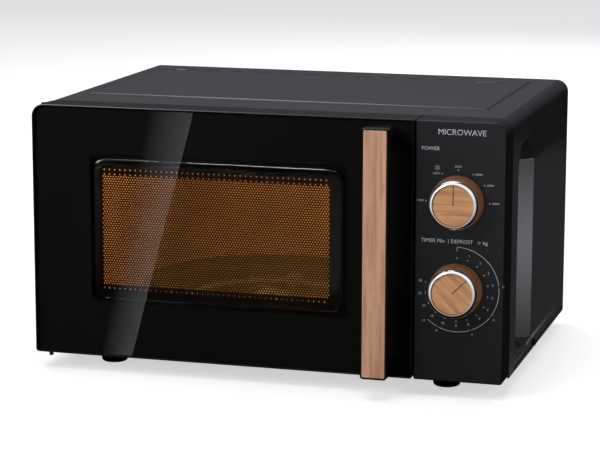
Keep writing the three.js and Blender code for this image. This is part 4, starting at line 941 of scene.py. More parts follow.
choke = {
    "gap": 8.8 * mm, "ease": 0.7 * mm, "radii": [2 * mm, 1 * mm, 1 * mm, 4 * mm], "innerRadius": 10 * mm,
    "hookSlot": (3.5 * mm, 6 * mm, 10 * mm), "notch": 6 * mm, "notchGap": 2 * mm,
}


def makeChokeCover():
    low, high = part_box("door_choke_cover")
    linerLow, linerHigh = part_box("cavity_liner")
    outer = lambda inset: boxOutline(low, high, inset, choke["radii"])
    inner = lambda inset: boxOutline(linerLow, linerHigh, choke["gap"] - inset, choke["innerRadius"] + inset)
    ease = choke["ease"]
    steps = ((low.y, 0), (high.y - ease, 0), (high.y - ease * 0.3, ease * 0.3), (high.y, ease))
    rings = [upright(y, outer(inset)) for y, inset in steps] + [upright(y, inner(inset)) for y, inset in steps[::-1]]
    ring = loft("chokeCover", rings, closed=True)
    hook, (half, under, over) = middle("latch_hook"), choke["hookSlot"]
    y0, y1 = low.y - chassis["cutPast"], high.y + chassis["cutPast"]
    slots = [block("hookSlot", (hook.x - half, y0, z - under), (hook.x + half, y1, z + over)) for z in hookHeights()]
    (_, _, plateZ), gap = hingePlace(), choke["notchGap"]
    right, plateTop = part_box("hinge_upper")[1].x + choke["notch"], plateZ + chassis["hingePlate"]
    slots.append(block("hingeNotch", (low.x - gap, y0, plateZ - gap), (right, y1, plateTop + gap)))
    carve(ring, joined("slots", *slots))
    smooth(ring, 35)
    return keep(ring, "door", "black_plastic", "door_choke_cover")


makeChokeCover()
keep(copyNode("latch_hook", "latchHook", 0.3 * mm), "latch", "white_plastic", "latch_hook")
print("door made")

# Bar handle with its wood-look strip

handle = {
    "round": 1.3 * mm, "radius": 3 * mm, "edge": 1.5 * mm, "edgeEase": 0.2 * mm, "recess": 2.5 * mm, "deep": 11 * mm,
    "post": (9 * mm, 6.5 * mm), "postRound": 2 * mm, "postGap": 0.3 * mm, "ease": 0.25 * mm,
    "stripRadius": 1.4 * mm, "stripRound": 0.5 * mm,
}


def makeHandle():
    low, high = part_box("handle_bar")
    nose, back = low.y, low.y + handle["deep"]
    turn, edge, ease = handle["round"], handle["edge"], handle["edgeEase"]
    outline = lambda inset: boxOutline(low, high, inset, max(handle["radius"] - inset, 0.6 * mm))
    steps = ((back, turn), (back - turn * 0.3, turn * 0.3), (back - turn, 0), (nose + turn * 0.5, 0),
             (nose + turn * 0.15, turn * 0.15), (nose, turn * 0.5), (nose, edge - ease), (nose + ease, edge),
             (nose + handle["recess"], edge))
    bar = loft("handleBar", [upright(y, outline(inset)) for y, inset in steps])
    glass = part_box("door_glass")[0].y
    w, h = handle["post"]
    for x, y, z in spigotPlaces():
        outline = roundRect(x - w, x + w, z - h, z + h, handle["postRound"])
        post = loft("post", [upright(v, outline) for v in (back - 2 * mm, glass - 4 * mm, glass - handle["postGap"])])
        weld(bar, post, rod("spigot", "y", (x, y, z), door["spigot"], -2 * mm, 5.5 * mm))
    soften(bar, handle["ease"], 1, 60)
    smooth(bar, 32)
    keep(bar, "door", "door_plastic", "handle_bar")


def makeHandleStrip():
    low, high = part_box("handle_inlay")
    ease = handle["stripRound"]
    outline = lambda inset: boxOutline(low, high, inset, max(handle["stripRadius"] - inset, 0.3 * mm), 5)
    strip = loft("handleStrip", [upright(high.y, outline(0)), upright(low.y + ease, outline(0)),
                                 upright(low.y + ease * 0.3, outline(ease * 0.3)), upright(low.y, outline(ease))])
    smooth(strip, 35)
    return keep(strip, "door", "wood_look", "handle_inlay")


makeHandle()
makeHandleStrip()
print("handle made")

# Control panel

panel = {
    "wall": 2.5 * mm, "round": 1.4 * mm, "rim": 2.4 * mm, "hole": 4.5 * mm,
    "radii": [1.5 * mm, 3 * mm, 12 * mm, 1.5 * mm],
}
panelLow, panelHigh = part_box("control_panel")
dialCentres = {which: Vector((middle(f"{which}_knob").x, panelLow.y, middle(f"{which}_knob").z))
               for which in ("power", "timer")}


def makePanel():
    turn, y, rim = panel["round"], panelLow.y, panel["rim"]
    rings = []
    for depth, inset in ((y, turn), (y + turn * 0.13, turn * 0.5), (y + turn * 0.5, turn * 0.13), (y + turn, 0),
                         (panelHigh.y, 0), (panelHigh.y, rim), (y + panel["wall"], rim)):
        radii = [max(r - inset, 0.4 * mm) for r in panel["radii"]]
        rings.append(upright(depth, boxOutline(panelLow, panelHigh, inset, radii, 12)))
    piece = loft("controlPanel", rings)
    holes = [rod("shaftHole", "y", centre, panel["hole"], -5 * mm, 5 * mm, 40) for centre in dialCentres.values()]
    carve(piece, *holes)
    smooth(piece, 35)
    return keep(piece, "cabinet", "fascia_plastic", "control_panel")


makePanel()


# Dials: a wood-look skirt, a chrome ring and a wood-look cap with a sunk pointer, whose groove holds a black strip as
# painted shade

dial = {
    "gap": 0.8 * mm, "deep": 17 * mm, "base": 24.5 * mm, "neck": 23 * mm, "shaft": 3.2 * mm,
    "ring": 22.4 * mm, "ringDeep": 4.5 * mm, "ringGap": 0.3 * mm,
    "face": 18.8 * mm, "faceDeep": 3 * mm, "pointer": 0.8 * mm, "pointerDeep": 0.6 * mm, "pointerGap": 0.02 * mm,
    "skirtWood": ((0.30, 0.135, 0.062), (0.15, 0.058, 0.025)), "faceWood": ((0.84, 0.43, 0.20), (0.44, 0.17, 0.07)),
}


def makeSkirt(which, centre, front):
    rear, base, neck, shaft = -dial["gap"], dial["base"], dial["neck"], dial["shaft"]
    skirt = lathe(f"{which}Knob", "y", centre, [
        (shaft, rear), (shaft + 3 * mm, rear), (shaft + 3 * mm, front + 4 * mm), (base - 3.5 * mm, front + 4 * mm),
        (base - 2.5 * mm, rear), (base - 0.5 * mm, rear), (base, rear - 0.5 * mm), (neck + 0.25 * mm, front + 1 * mm),
        (neck, front + 0.4 * mm), (neck - 0.5 * mm, front), (dial["ring"] - 3 * mm, front),
        (dial["ring"] - 3 * mm, front + 0.5 * mm), (2 * mm, front + 0.5 * mm), (2 * mm, front + 3 * mm),
        (shaft, front + 3 * mm)], 96)
    smooth(skirt, 35)
    wood = makeWood(f"{which}SkirtWood", tuple(centre), 0, *dial["skirtWood"])
    keep(skirt, f"{which}_dial", "wood_look", f"{which}_knob", material=wood)


def makeRing(which, centre, near):
    far = near - dial["ringDeep"]
    inner, outer = dial["face"] + dial["ringGap"], dial["ring"]
    slope = ((0, 2.9), (0.2, 2.2), (0.7, 1.5), (1.4, 0.8), (2.1, 0.35), (2.8, 0.05))  # inward and back, in millimetres
    profile = [(inner, near), (outer - 0.5 * mm, near), (outer, near - 0.5 * mm)]
    profile += [(outer - inward * mm, far + back * mm) for inward, back in slope]
    ring = lathe(f"{which}Ring", "y", centre, profile + [(inner + 0.1 * mm, far), (inner, far + 0.2 * mm)], 96)
    smooth(ring, 40)
    keep(ring, f"{which}_dial", "chrome", f"{which}_knob_ring")


def makeFace(which, centre, near, turn):
    radius, half, gap = dial["face"], dial["pointer"] / 2, dial["pointerGap"]
    front = near - dial["faceDeep"]
    floor = front + dial["pointerDeep"]
    cap = lathe(f"{which}Face", "y", centre, [
        (0, near), (radius, near), (radius, front + 0.4 * mm), (radius - 0.4 * mm, front), (0, front)], 96)
    groove = block("groove", (-half, front - 1 * mm, 0), (half, floor, radius - 0.6 * mm))
    # A black strip in the deeper half of the groove: painted shade that darkens the sunk pointer
    grooveShade = block(f"{which}Pointer", (-half + gap, front + 0.1 * mm + dial["pointerDeep"] * 0.5, gap),
                  (half - gap, floor, radius - 0.6 * mm - gap))
    soften(grooveShade, 0.1 * mm, 1)
    for piece in (groove, grooveShade):
        piece.rotation_euler = (0, math.radians(turn), 0)
        piece.location = centre
        applyPlace(piece)
    carve(cap, groove)
    smooth(cap, 30)
    wood = makeWood(f"{which}FaceWood", tuple(centre), turn + 90, *dial["faceWood"])
    keep(cap, f"{which}_dial", "wood_look", f"{which}_knob_face", material=wood)
    keep(grooveShade, f"{which}_dial", "black_plastic")


def makeDial(which, turn):  # turn: the pointer's angle clockwise from upright
    centre, front = dialCentres[which], -dial["deep"]
    makeSkirt(which, centre, front)
    makeRing(which, centre, front - dial["ringGap"])
    makeFace(which, centre, front - dial["ringGap"], turn)


makeDial("power", 0)
makeDial("timer", 45)
print("panel and dials made")

# Printed marks, drawn flat with x to the right and y up, then given a film's thickness and stood on the panel

marks = {
    "film": 0.05 * mm, "gap": 0.005 * mm, "title": 5.2 * mm, "word": 3.4 * mm, "number": 2.3 * mm, "small": 1.9 * mm,
    "titleAt": (1 * mm, 10 * mm), "powerAt": (5.5 * mm, 25.2 * mm),  # from the panel's middle or edge, and from its top
    "words": (("TIMER Min", 6 * mm), ("DEFROST", 33.6 * mm), ("kg", 63 * mm)), "wordsUp": 44.2 * mm,  # over the timer
    "bar": (31.2 * mm, 31.55 * mm, 2 * mm), "flake": (59.6 * mm, 1.6 * mm),
    "powerFlake": (4.6 * mm, 5.4 * mm, 2.6 * mm), "labelUp": 3 * mm, "labelGap": 1.9 * mm,
    "dotAt": 29.2 * mm, "dot": 0.55 * mm, "fineDot": 0.45, "labelAt": 33.6 * mm,
    "arcAt": 39.2 * mm, "arcWide": 0.42 * mm, "arcEnd": 222, "arcGap": 1, "arcStart": 4 * mm, "weightAt": 43.2 * mm,
    "power": ((-90, "120W"), (-30, "230W"), (0, "350W"), (28, "500W"), (56, "600W"), (90, "700W")),
    "timer": ((20, "1"), (40, "2"), (60, "3"), (80, "4"), (100, "5"), (120, "6"), (140, "7"), (160, "8"), (180, "9"),
              (201, "10"), (221, "15"), (241, "20"), (261, "25"), (281, "30")),
    "fine": (201, 221, 241, 261), "fineSteps": (4, 8, 12, 16),
    "weights": ((83, ".2"), (127, ".4"), (160, ".6"), (205, ".8"), (225, "1.0")),
}


def lettering(text, x, y, height, align="CENTER"):
    pickObjects()
    bpy.ops.object.text_add()
    piece = bpy.context.object
    piece.data.body = text
    piece.data.align_x = align
    piece.data.align_y = "CENTER"
    piece.data.size = height / 0.7
    piece.data.resolution_u = 3
    pickObjects(piece)
    bpy.ops.object.convert(target="MESH")
    piece = bpy.context.object
    piece.location = (x, y, 0)
    return applyPlace(piece)


def disc(x, y, radius, steps=12):
    pickObjects()
    bpy.ops.mesh.primitive_circle_add(vertices=steps, radius=radius, fill_type="NGON", location=(x, y, 0))
    return applyPlace(bpy.context.object)


def strip(x0, y0, x1, y1):
    pickObjects()
    bpy.ops.mesh.primitive_plane_add(size=1, location=((x0 + x1) / 2, (y0 + y1) / 2, 0))
    piece = bpy.context.object
    piece.scale = (abs(x1 - x0), abs(y1 - y0), 1)
    return applyPlace(piece)


def arc(x, y, radius, wide, start, end):  # clockwise from upright, in degrees
    pickObjects()
    bpy.ops.mesh.primitive_circle_add(vertices=3, radius=1, fill_type="NOTHING")
    piece = bpy.context.object
    openEdit(piece)
    shape = bmesh.from_edit_mesh(piece.data)
    shape.verts.ensure_lookup_table()
    bmesh.ops.delete(shape, geom=[shape.verts[2]], context="VERTS")
    shape.verts.ensure_lookup_table()
    for vert, r in zip(shape.verts, (radius - wide / 2, radius + wide / 2)):
        turn = math.radians(start)
        vert.co = (r * math.sin(turn), r * math.cos(turn), 0)
    bmesh.update_edit_mesh(piece.data)
    bpy.ops.mesh.select_all(action="SELECT")
    bpy.ops.mesh.spin(steps=max(4, round((end - start) / 4)), angle=math.radians(end - start),
                      center=(0, 0, 0), axis=(0, 0, 1))
    closeEdit()
    piece.location = (x, y, 0)
    return applyPlace(piece)


def snowflake(x, y, size):
    pieces = []
    turns = [math.radians(30 + i * 60) for i in range(6)]
    for turn in turns[:3]:
        arm = joined("arm", strip(-size, -size * 0.07, size, size * 0.07),
                     strip(-size * 0.22, -size * 0.06, size * 0.22, size * 0.06))
        arm.rotation_euler = (0, 0, turn)
        arm.location = (x, y, 0)
        pieces.append(applyPlace(arm))
    reach = size * 0.8
    return pieces + [disc(x + reach * math.cos(turn), y + reach * math.sin(turn), size * 0.2, 8) for turn in turns]


def around(centre, degrees, radius):
    return centre.x + radius * math.sin(math.radians(degrees)), centre.z + radius * math.cos(math.radians(degrees))


def topMarks():
    edge = panelLow.x
    titleX, titleDown = marks["titleAt"]
    wordX, wordDown = marks["powerAt"]
    row = dialCentres["timer"].z + marks["wordsUp"]
    pieces = [lettering("MICROWAVE", (panelLow.x + panelHigh.x) / 2 + titleX, panelHigh.z - titleDown, marks["title"]),
              lettering("POWER", edge + wordX, panelHigh.z - wordDown, marks["word"], "LEFT")]
    pieces += [lettering(word, edge + x, row, marks["word"], "LEFT") for word, x in marks["words"]]
    left, right, half = marks["bar"]
    pieces.append(strip(edge + left, row - half, edge + right, row + half))
    flakeX, flakeSize = marks["flake"]
    return pieces + snowflake(edge + flakeX, row, flakeSize)


def powerMarks(centre):
    pieces = []
    for degrees, label in marks["power"]:
        x, y = around(centre, degrees, marks["dotAt"])
        pieces.append(disc(x, y, marks["dot"]))
        side = math.sin(math.radians(degrees))
        if degrees == 0:
            pieces.append(lettering(label, x, y + marks["labelUp"], marks["small"]))
        else:
            align = "LEFT" if side > 0 else "RIGHT"
            pieces.append(lettering(label, x + math.copysign(marks["labelGap"], side), y, marks["small"], align))
        if degrees == -30:  # the defrosting setting
            left, up, size = marks["powerFlake"]
            pieces += snowflake(x - left, y + up, size)
    return pieces


def timerMarks(centre):
    pieces = [disc(*around(centre, 0, marks["dotAt"]), marks["dot"])]
    for degrees, label in marks["timer"]:
        reach = marks["labelAt"] + (0.6 * mm if len(label) > 1 else 0)
        pieces.append(disc(*around(centre, degrees, marks["dotAt"]), marks["dot"]))
        pieces.append(lettering(label, *around(centre, degrees, reach), marks["number"]))
    for degrees in (first + step for first in marks["fine"] for step in marks["fineSteps"]):
        pieces.append(disc(*around(centre, degrees, marks["dotAt"]), marks["dot"] * marks["fineDot"], 8))
    reach, half, gap, last = marks["arcAt"], marks["arcWide"] / 2, marks["arcGap"], marks["arcEnd"]
    ends = [0] + [degrees for degrees, label in marks["weights"][:-1]] + [last]
    for start, end in zip(ends, ends[1:]):
        pieces.append(arc(centre.x, centre.z, reach, marks["arcWide"],
                          start + (gap if start else 0), end - (gap if end < last else 0)))
    top = centre.z + reach
    pieces.append(strip(centre.x - half, top - marks["arcStart"], centre.x + half, top + half))
    for degrees, label in marks["weights"]:
        pieces.append(lettering(label, *around(centre, degrees, marks["weightAt"]), marks["small"]))
    return pieces


def makeMarks():
    ink = joined("panelPrint", *topMarks(), *powerMarks(dialCentres["power"]), *timerMarks(dialCentres["timer"]))
    ink.rotation_euler = (math.pi / 2, 0, 0)
    ink.location = (0, panelLow.y - marks["gap"], 0)
    applyPlace(ink)
    openEdit(ink, whole=True)
    bpy.ops.mesh.remove_doubles(threshold=0.005 * mm)
    bpy.ops.mesh.normals_make_consistent(inside=False)
    choose("FACE", lambda f: f.normal.y > 0)
    bpy.ops.mesh.flip_normals()
    closeEdit()
    addModifier(ink, "SOLIDIFY", thickness=marks["film"], offset=1)
    return keep(ink, "cabinet", "white_plastic", material=materials["markInk"])


materials["markInk"] = makeFinish("markInk", {
    "colour": (0.60, 0.63, 0.66), "rough": 0.5, "grain": 1200, "bump": 0.03, "vary": 0.1})
makeMarks()
print("marks made")

# Oven cavity

liner = {
    "sheet": 0.8 * mm, "round": 9 * mm, "shaft": 10 * mm, "feedEdge": 8 * mm,
    "lampHole": 2.2 * mm, "lampPitch": 9 * mm, "lampAcross": 3, "lampFirst": (55 * mm, 38 * mm),  # from frame and top
}


def makeLiner():
    low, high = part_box("cavity_liner")
    sheet = liner["sheet"]
    piece = block("cavityLiner", low, high)
    openEdit(piece)
    choose("FACE", lambda f: f.normal.y < -0.9)
    bpy.ops.mesh.delete(type="FACE")
    onBack = lambda e: all(v.co.y > high.y - 0.1 * mm for v in e.verts)
    runsBack = lambda e: abs((e.verts[0].co - e.verts[1].co).normalized().y) > 0.9
    choose("EDGE", lambda e: len(e.link_faces) == 2 and (onBack(e) or runsBack(e)))
    bpy.ops.mesh.bevel(offset=liner["round"], segments=6, affect="EDGES")
    bpy.ops.mesh.select_all(action="SELECT")
    bpy.ops.mesh.normals_make_consistent(inside=False)
    closeEdit()
    addModifier(piece, "SOLIDIFY", thickness=sheet, offset=-1, use_even_offset=True)
    coupler = middle("turntable_coupler")
    cutters = [rod("shaftHole", "z", (coupler.x, coupler.y, low.z), liner["shaft"], -5 * mm, 5 * mm, 32)]
    feedLow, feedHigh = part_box("waveguide_cover")
    edge, pitch = liner["feedEdge"], liner["lampPitch"]
    cutters.append(block("feed", (high.x - 2 * mm, feedLow.y + edge, feedLow.z + edge),
                         (high.x + 2 * mm, feedHigh.y - edge, feedHigh.z - edge)))
    fromFrame, fromTop = liner["lampFirst"]
    y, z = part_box("front_frame")[1].y + fromFrame, high.z - sheet - fromTop
    for i in range(liner["lampAcross"]):
        for k in range(liner["lampAcross"]):
            place = (high.x, y + i * pitch, z + k * pitch)
            cutters.append(rod("lampHole", "x", place, liner["lampHole"], -3 * mm, 3 * mm, 10))
    carve(piece, joined("cutters", *cutters))
    smooth(piece, 30)
    return keep(piece, "cabinet", "liner_paint", "cavity_liner")


makeLiner()
keep(copyNode("waveguide_cover", "waveguideCover", 0.1 * mm, 1), "cabinet", "mica", "waveguide_cover")
coupler = copyNode("turntable_coupler", "turntableCoupler", 0.5 * mm)
keep(coupler, "turntable", "white_plastic", "turntable_coupler")
print("cavity made")

# Glass turntable on its roller ring

turntable = {
    "thick": 5 * mm, "rise": 10 * mm, "lip": 3 * mm,
    "lug": (10 * mm, 17 * mm, 3 * mm, 3 * mm), "lugTurns": (60, 180, 300),  # from, to, half width and drop
}


def makeTurntable():
    low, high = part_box("turntable_plate")
    centre = Vector(((low.x + high.x) / 2, (low.y + high.y) / 2, 0))
    r, base, top = (high.x - low.x) / 2, high.z - turntable["rise"], high.z
    thick = base + turntable["thick"]
    profile = [
        (0, base), (r - 42 * mm, base), (r - 41 * mm, base + 0.5 * mm), (r - 38 * mm, base + 0.5 * mm),
        (r - 37 * mm, base), (r - 18 * mm, base), (r - 12 * mm, base + 1.4 * mm), (r - 5 * mm, base + 4.6 * mm),
        (r - 1 * mm, base + 6.6 * mm), (r - 0.2 * mm, base + 7.4 * mm), (r, base + 8.4 * mm),
        (r - 0.3 * mm, base + 9.4 * mm), (r - 1.1 * mm, top),
        (r - 2.2 * mm, top - 0.1 * mm), (r - turntable["lip"], top - 0.7 * mm), (r - 8 * mm, base + 7.4 * mm),
        (r - 14 * mm, base + 5.7 * mm), (r - 20 * mm, thick), (0, thick)]
    dish = lathe("turntablePlate", "z", centre, profile, 120)
    inner, outer, half, drop = turntable["lug"]
    for degrees in turntable["lugTurns"]:
        lug = soften(block("lug", (inner, -half, base - drop), (outer, half, base + 1 * mm)), 0.8 * mm)
        lug.rotation_euler = (0, 0, math.radians(degrees))
        lug.location = centre
        weld(dish, applyPlace(lug))
    smooth(dish, 40)
    return keep(dish, "turntable", "clear_glass", "turntable_plate")


carrier = {
    "inner": 77 * mm, "outer": 82 * mm, "thick": 4 * mm, "ease": 0.6 * mm, "axle": 1.9 * mm, "axlePast": 2 * mm,
    "track": 88 * mm, "radius": 7.5 * mm, "wide": 7 * mm, "bore": 2.3 * mm, "wheelEase": 0.8 * mm,
    "wheels": ((90, "first_roller"), (210, "second_roller"), (330, "third_roller")),
}


def makeCarrier():
    plateLow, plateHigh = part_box("turntable_plate")
    low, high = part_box("roller_ring")
    centre = ((plateLow.x + plateHigh.x) / 2, (plateLow.y + plateHigh.y) / 2, (low.z + high.z) / 2)
    inner, outer, t, ease = carrier["inner"], carrier["outer"], carrier["thick"] / 2, carrier["ease"]
    ring = lathe("rollerRing", "z", centre, [
        (inner, -t + ease), (inner + ease, -t), (outer - ease, -t), (outer, -t + ease),
        (outer, t - ease), (outer - ease, t), (inner + ease, t), (inner, t - ease)], 96)
    r, w, e = carrier["radius"], carrier["wide"] / 2, carrier["wheelEase"]
    bore, track = carrier["bore"], carrier["track"]
    for i, (degrees, body) in enumerate(carrier["wheels"]):
        axle = rod("axle", "x", (0, 0, 0), carrier["axle"], outer - 1 * mm, track + w + carrier["axlePast"], 20)
        wheel = lathe(f"roller{i + 1}", "x", (track, 0, 0), [
            (bore, -w), (r - e, -w), (r, -w + e), (r, w - e), (r - e, w), (r - 2.2 * mm, w),
            (r - 2.6 * mm, w - 0.6 * mm), (bore + 1.2 * mm, w - 0.6 * mm), (bore + 0.8 * mm, w), (bore, w)], 40)
        for piece in (axle, wheel):
            piece.rotation_euler = (0, 0, math.radians(degrees))
            piece.location = centre
            applyPlace(piece)
        weld(ring, axle)
        smooth(wheel, 35)
        keep(wheel, body, "white_plastic", f"roller_{i + 1}")
    smooth(ring, 35)
    return keep(ring, "roller_carrier", "white_plastic", "roller_ring")


makeTurntable()
makeCarrier()
print("turntable made")

# Everything inside the case keeps its CAD shape and takes its slot's finish

for subpart in frame["record"]["subparts"]:
    node = nodes[subpart["node"]]
    if not node.hide_render:
        for place in node.material_slots:
            place.material = materials[subpart["material_slot"]]
print("CAD pieces painted")

# Studio

studio = {
    "floor": 8, "floorColour": 0.82, "floorGlow": 0.60, "sky": 0.22, "skyTint": (0.90, 0.93, 1.0),
    "glow": 2.2, "glowSize": (0.05, 0.03), "glowTint": (1.0, 0.36, 0.085),
    "lights": (  # name, place, target, size, watts, whether it's mirrored
        ("topSoftbox", (-0.5, 0.65, 2.2), (0, 0.4, 0.2), (2.2, 2.0), 24, True),
        ("nearTop", (0.15, -0.62, 0.95), (0.15, -0.15, 0.2), (0.5, 0.25), 2.4, False),
        ("frontSoftbox", (-1.6, -2.4, 1.5), (0, 0, 0.1), (1.2, 1.2), 27, True),
        ("rightSoftbox", (2.4, -0.2, 1.3), (0.2, 0, 0.1), (1.0, 1.4), 9, False),
        ("backSoftbox", (0.4, 2.4, 1.4), (0, 0, 0.2), (1.6, 1.6), 16, False),
    ),
}


def addLight(name, place, target, size, power, mirrored, colour=(1, 1, 1)):
    light = bpy.data.lights.new(name, "AREA")
    light.shape = "RECTANGLE"
    light.size, light.size_y = size
    light.energy = power
    light.color = colour
    holder = bpy.data.objects.new(name, light)
    bpy.context.scene.collection.objects.link(holder)
    holder.location = place
    holder.rotation_euler = (Vector(target) - Vector(place)).to_track_quat("-Z", "Y").to_euler()
    holder.visible_glossy = mirrored
    return holder


def makeFloor():
    pickObjects()
    bpy.ops.mesh.primitive_plane_add(size=studio["floor"])
    floor = named("floor")
    material, tree, shader, place = startMaterial("floorPaint")
    grey = studio["floorColour"]
    shade = mixColour(tree, noise(tree, place, 3, 2), (grey,) * 3, (grey + 0.03,) * 3)
    tree.links.new(shade, shader.inputs["Base Color"])
    shader.inputs["Roughness"].default_value = 0.9
    path = tree.nodes.new("ShaderNodeLightPath")
    shader.inputs["Emission Color"].default_value = (1, 1, 1, 1)
    glow = mathNode(tree, "MULTIPLY", path.outputs["Is Camera Ray"], studio["floorGlow"])
    tree.links.new(glow, shader.inputs["Emission Strength"])
    floor.data.materials.append(material)
    floor.visible_glossy = False


def makeWorld():  # white to the camera, a dim sky to everything else
    world = bpy.data.worlds.new("studioWorld")
    bpy.context.scene.world = world
    world.use_nodes = True
    tree = world.node_tree
    tree.nodes.clear()
    out = tree.nodes.new("ShaderNodeOutputWorld")
    mix = tree.nodes.new("ShaderNodeMixShader")
    path = tree.nodes.new("ShaderNodeLightPath")
    white = tree.nodes.new("ShaderNodeBackground")
    white.inputs["Color"].default_value = (1, 1, 1, 1)
    sky = tree.nodes.new("ShaderNodeBackground")
    ray = tree.nodes.new("ShaderNodeTexCoord")
    split = tree.nodes.new("ShaderNodeSeparateXYZ")
    tree.links.new(ray.outputs["Generated"], split.inputs[0])
    upper = mapRange(tree, split.outputs["Z"], -0.05, 0.7, 0.04, 1.0)  # dark low down, where the door mirrors it
    behind = mapRange(tree, split.outputs["Y"], -0.3, 0.5, 0.3, 1.0)
    level = mathNode(tree, "MULTIPLY", mathNode(tree, "MULTIPLY", upper, behind), studio["sky"])
    tree.links.new(level, sky.inputs["Strength"])
    sky.inputs["Color"].default_value = (*studio["skyTint"], 1)
    tree.links.new(path.outputs["Is Camera Ray"], mix.inputs[0])
    tree.links.new(sky.outputs[0], mix.inputs[1])
    tree.links.new(white.outputs[0], mix.inputs[2])
    tree.links.new(mix.outputs[0], out.inputs["Surface"])


def makeLights():
    for light in studio["lights"]:
        addLight(*light)
    low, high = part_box("cavity_liner")
    place = (high.x - 0.05, low.y + 0.03, high.z - 0.03)
    target = (low.x + 0.03, high.y, low.z + 0.05)
    addLight("ovenGlow", place, target, studio["glowSize"], studio["glow"], True, studio["glowTint"])


# Flat lights that one piece mirrors and nothing else sees. The corners run lower left, lower right, upper left and
# upper right, as the oven sees them, and "along" says how the light spreads over them.

cards = {
    "windowCard": {
        "corners": ((-0.7, -1.5, -0.415), (-0.652, -1.5, -0.415), (-0.583, -1.5, 0.135), (-0.505, -1.5, 0.135)),
        "level": 1.35, "along": "x", "tint": (0.92, 0.96, 1.0), "only": ("doorGlass",)},
    "panelCard": {
        "corners": ((-0.13, -1.5, -0.36), (0.9, -1.5, -0.36), (-0.13, -1.5, 0.5), (0.9, -1.5, 0.5)),
        "level": 1.5, "along": "y", "tint": (0.90, 0.93, 1.0), "only": ("controlPanel",)},
    "riserCard": {
        "corners": ((1.5, -0.40, -0.225), (1.5, 0.0, -0.225), (1.5, -0.40, -0.025), (1.5, 0.0, -0.025)),
        "level": 4.6, "along": "hump", "tint": (0.93, 0.95, 1.0), "only": ("cabinetCover",)},
    "topCard": {
        "corners": ((-0.03, 2.0, 0.36), (-1.9, 2.0, 0.36), (-0.03, 2.0, 1.25), (-1.9, 2.0, 1.25)),
        "level": 0.07, "along": "flat", "tint": (0.90, 0.93, 1.0), "only": ("cabinetCover",)},
    "padCard": {
        "corners": ((0.2, 1.5, -0.6), (0.9, 1.5, -0.6), (0.2, 1.5, -0.02), (0.9, 1.5, -0.02)),
        "level": 0.035, "along": "flat", "tint": (0.93, 0.95, 1.0), "only": ("cabinetCover",)},
    "rampCard": {
        "corners": ((0.1, 0.95, -0.42), (0.42, 0.95, -0.42), (0.1, 0.95, -0.24), (0.42, 0.95, -0.24)),
        "level": 0.35, "along": "hump", "tint": (0.93, 0.95, 1.0), "only": ("cabinetCover",)},
    "frontCard": {
        "corners": ((-2.5, -2.4, -1.4), (2.5, -2.4, -1.4), (-2.5, -2.4, 2.2), (2.5, -2.4, 2.2)),
        "level": 0.16, "along": "y", "tint": (0.93, 0.95, 1.0), "only": ("cabinetCover",)},
    "leftCard": {
        "corners": ((-2.4, 1.0, -0.9), (-2.4, -1.6, -0.9), (-2.4, 1.0, 1.8), (-2.4, -1.6, 1.8)),
        "level": 0.16, "along": "hump", "tint": (0.93, 0.95, 1.0), "only": ("cabinetCover",)},
    "rightCard": {
        "corners": ((2.4, -1.6, -0.9), (2.4, 1.0, -0.9), (2.4, -1.6, 1.8), (2.4, 1.0, 1.8)),
        "level": 0.16, "along": "hump", "tint": (0.93, 0.95, 1.0), "only": ("cabinetCover",)},
    "rimCard": {
        "corners": ((-0.45, -0.36, -0.3), (0.02, -0.36, -0.3), (-0.45, -0.47, -0.3), (0.02, -0.47, -0.3)),
        "level": 230.0, "along": "x", "tint": (1, 1, 1), "only": ("screenPan",)},
    "ringCard": {
        "corners": ((-2.6, -0.95, -1.6), (2.6, -0.95, -1.6), (-2.6, -0.95, 2.2), (2.6, -0.95, 2.2)),
        "level": 1.5, "along": "y", "tint": (1, 1, 1), "only": ("powerRing", "timerRing")},
    "sideCard": {
        "corners": ((-1.4, -0.1, -0.8), (-1.4, -1.1, -0.8), (-1.4, -0.1, 0.9), (-1.4, -1.1, 0.9)),
        "level": 1.6, "along": "hump", "tint": (1, 1, 1), "only": ("powerRing", "timerRing")},
}


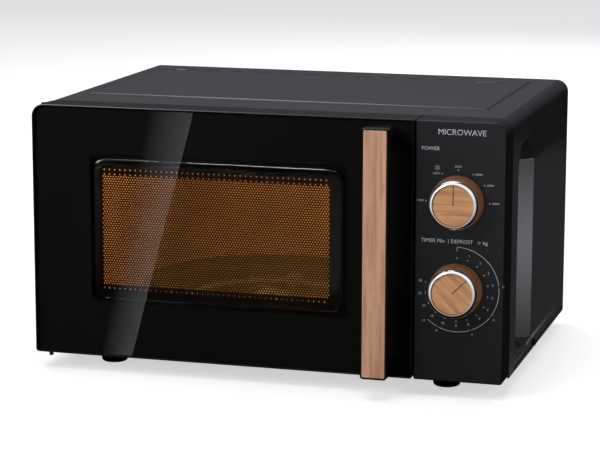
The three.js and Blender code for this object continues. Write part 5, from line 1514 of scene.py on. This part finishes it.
def makeCard(name):
    card = cards[name]
    pickObjects()
    bpy.ops.mesh.primitive_plane_add(size=1)
    piece = named(name)
    for vert, place in zip(piece.data.vertices, card["corners"]):
        vert.co = place
    spread = {"x": (0, 1, 0, 1), "y": (0, 0, 1, 1), "hump": (-1, -1, 1, 1), "flat": (1, 1, 1, 1)}[card["along"]]
    layer = piece.data.attributes.new("across", "FLOAT", "POINT")
    for item, value in zip(layer.data, spread):
        item.value = value
    openEdit(piece, whole=True)
    bpy.ops.mesh.subdivide(number_cuts=12)
    closeEdit()
    material, tree, shader, place = startMaterial(name + "Light")
    tree.nodes.remove(shader)
    glow = tree.nodes.new("ShaderNodeEmission")
    fade = tree.nodes.new("ShaderNodeAttribute")
    fade.attribute_name = "across"
    value = fade.outputs["Fac"]
    if card["along"] == "hump":
        value = mathNode(tree, "SUBTRACT", 1.0, mathNode(tree, "MULTIPLY", value, value))
    tree.links.new(mathNode(tree, "MULTIPLY", value, card["level"]), glow.inputs["Strength"])
    glow.inputs["Color"].default_value = (*card["tint"], 1)
    through = tree.nodes.new("ShaderNodeBsdfTransparent")  # a card never hides the one behind it
    both = tree.nodes.new("ShaderNodeAddShader")
    tree.links.new(glow.outputs[0], both.inputs[0])
    tree.links.new(through.outputs[0], both.inputs[1])
    tree.links.new(both.outputs[0], tree.nodes["Material Output"].inputs["Surface"])
    piece.data.materials.append(material)
    for kind in ("camera", "diffuse", "shadow", "transmission", "volume_scatter"):
        setattr(piece, f"visible_{kind}", False)
    lit = bpy.data.collections.new(name + "Lit")
    for each in card["only"]:
        lit.objects.link(bpy.data.objects[each])
    piece.light_linking.receiver_collection = lit


view = {
    "lens": 135.7, "sensor": 36, "place": (0.6022, -2.1128, 0.5423),
    "turns": ((16.09, "Z"), (79.23, "X"), (0.14, "Z")),
}


def makeCamera():
    camera = bpy.data.cameras.new("camera")
    camera.lens, camera.sensor_width = view["lens"], view["sensor"]
    holder = bpy.data.objects.new("camera", camera)
    bpy.context.scene.collection.objects.link(holder)
    placed = Matrix.Translation(view["place"])
    for degrees, axis in view["turns"]:
        placed = placed @ Matrix.Rotation(math.radians(degrees), 4, axis)
    holder.matrix_world = placed
    bpy.context.scene.camera = holder
    bpy.context.scene.view_settings.view_transform = "Standard"


makeFloor()
makeWorld()
makeLights()
for name in cards:
    makeCard(name)
makeCamera()
print("studio made")
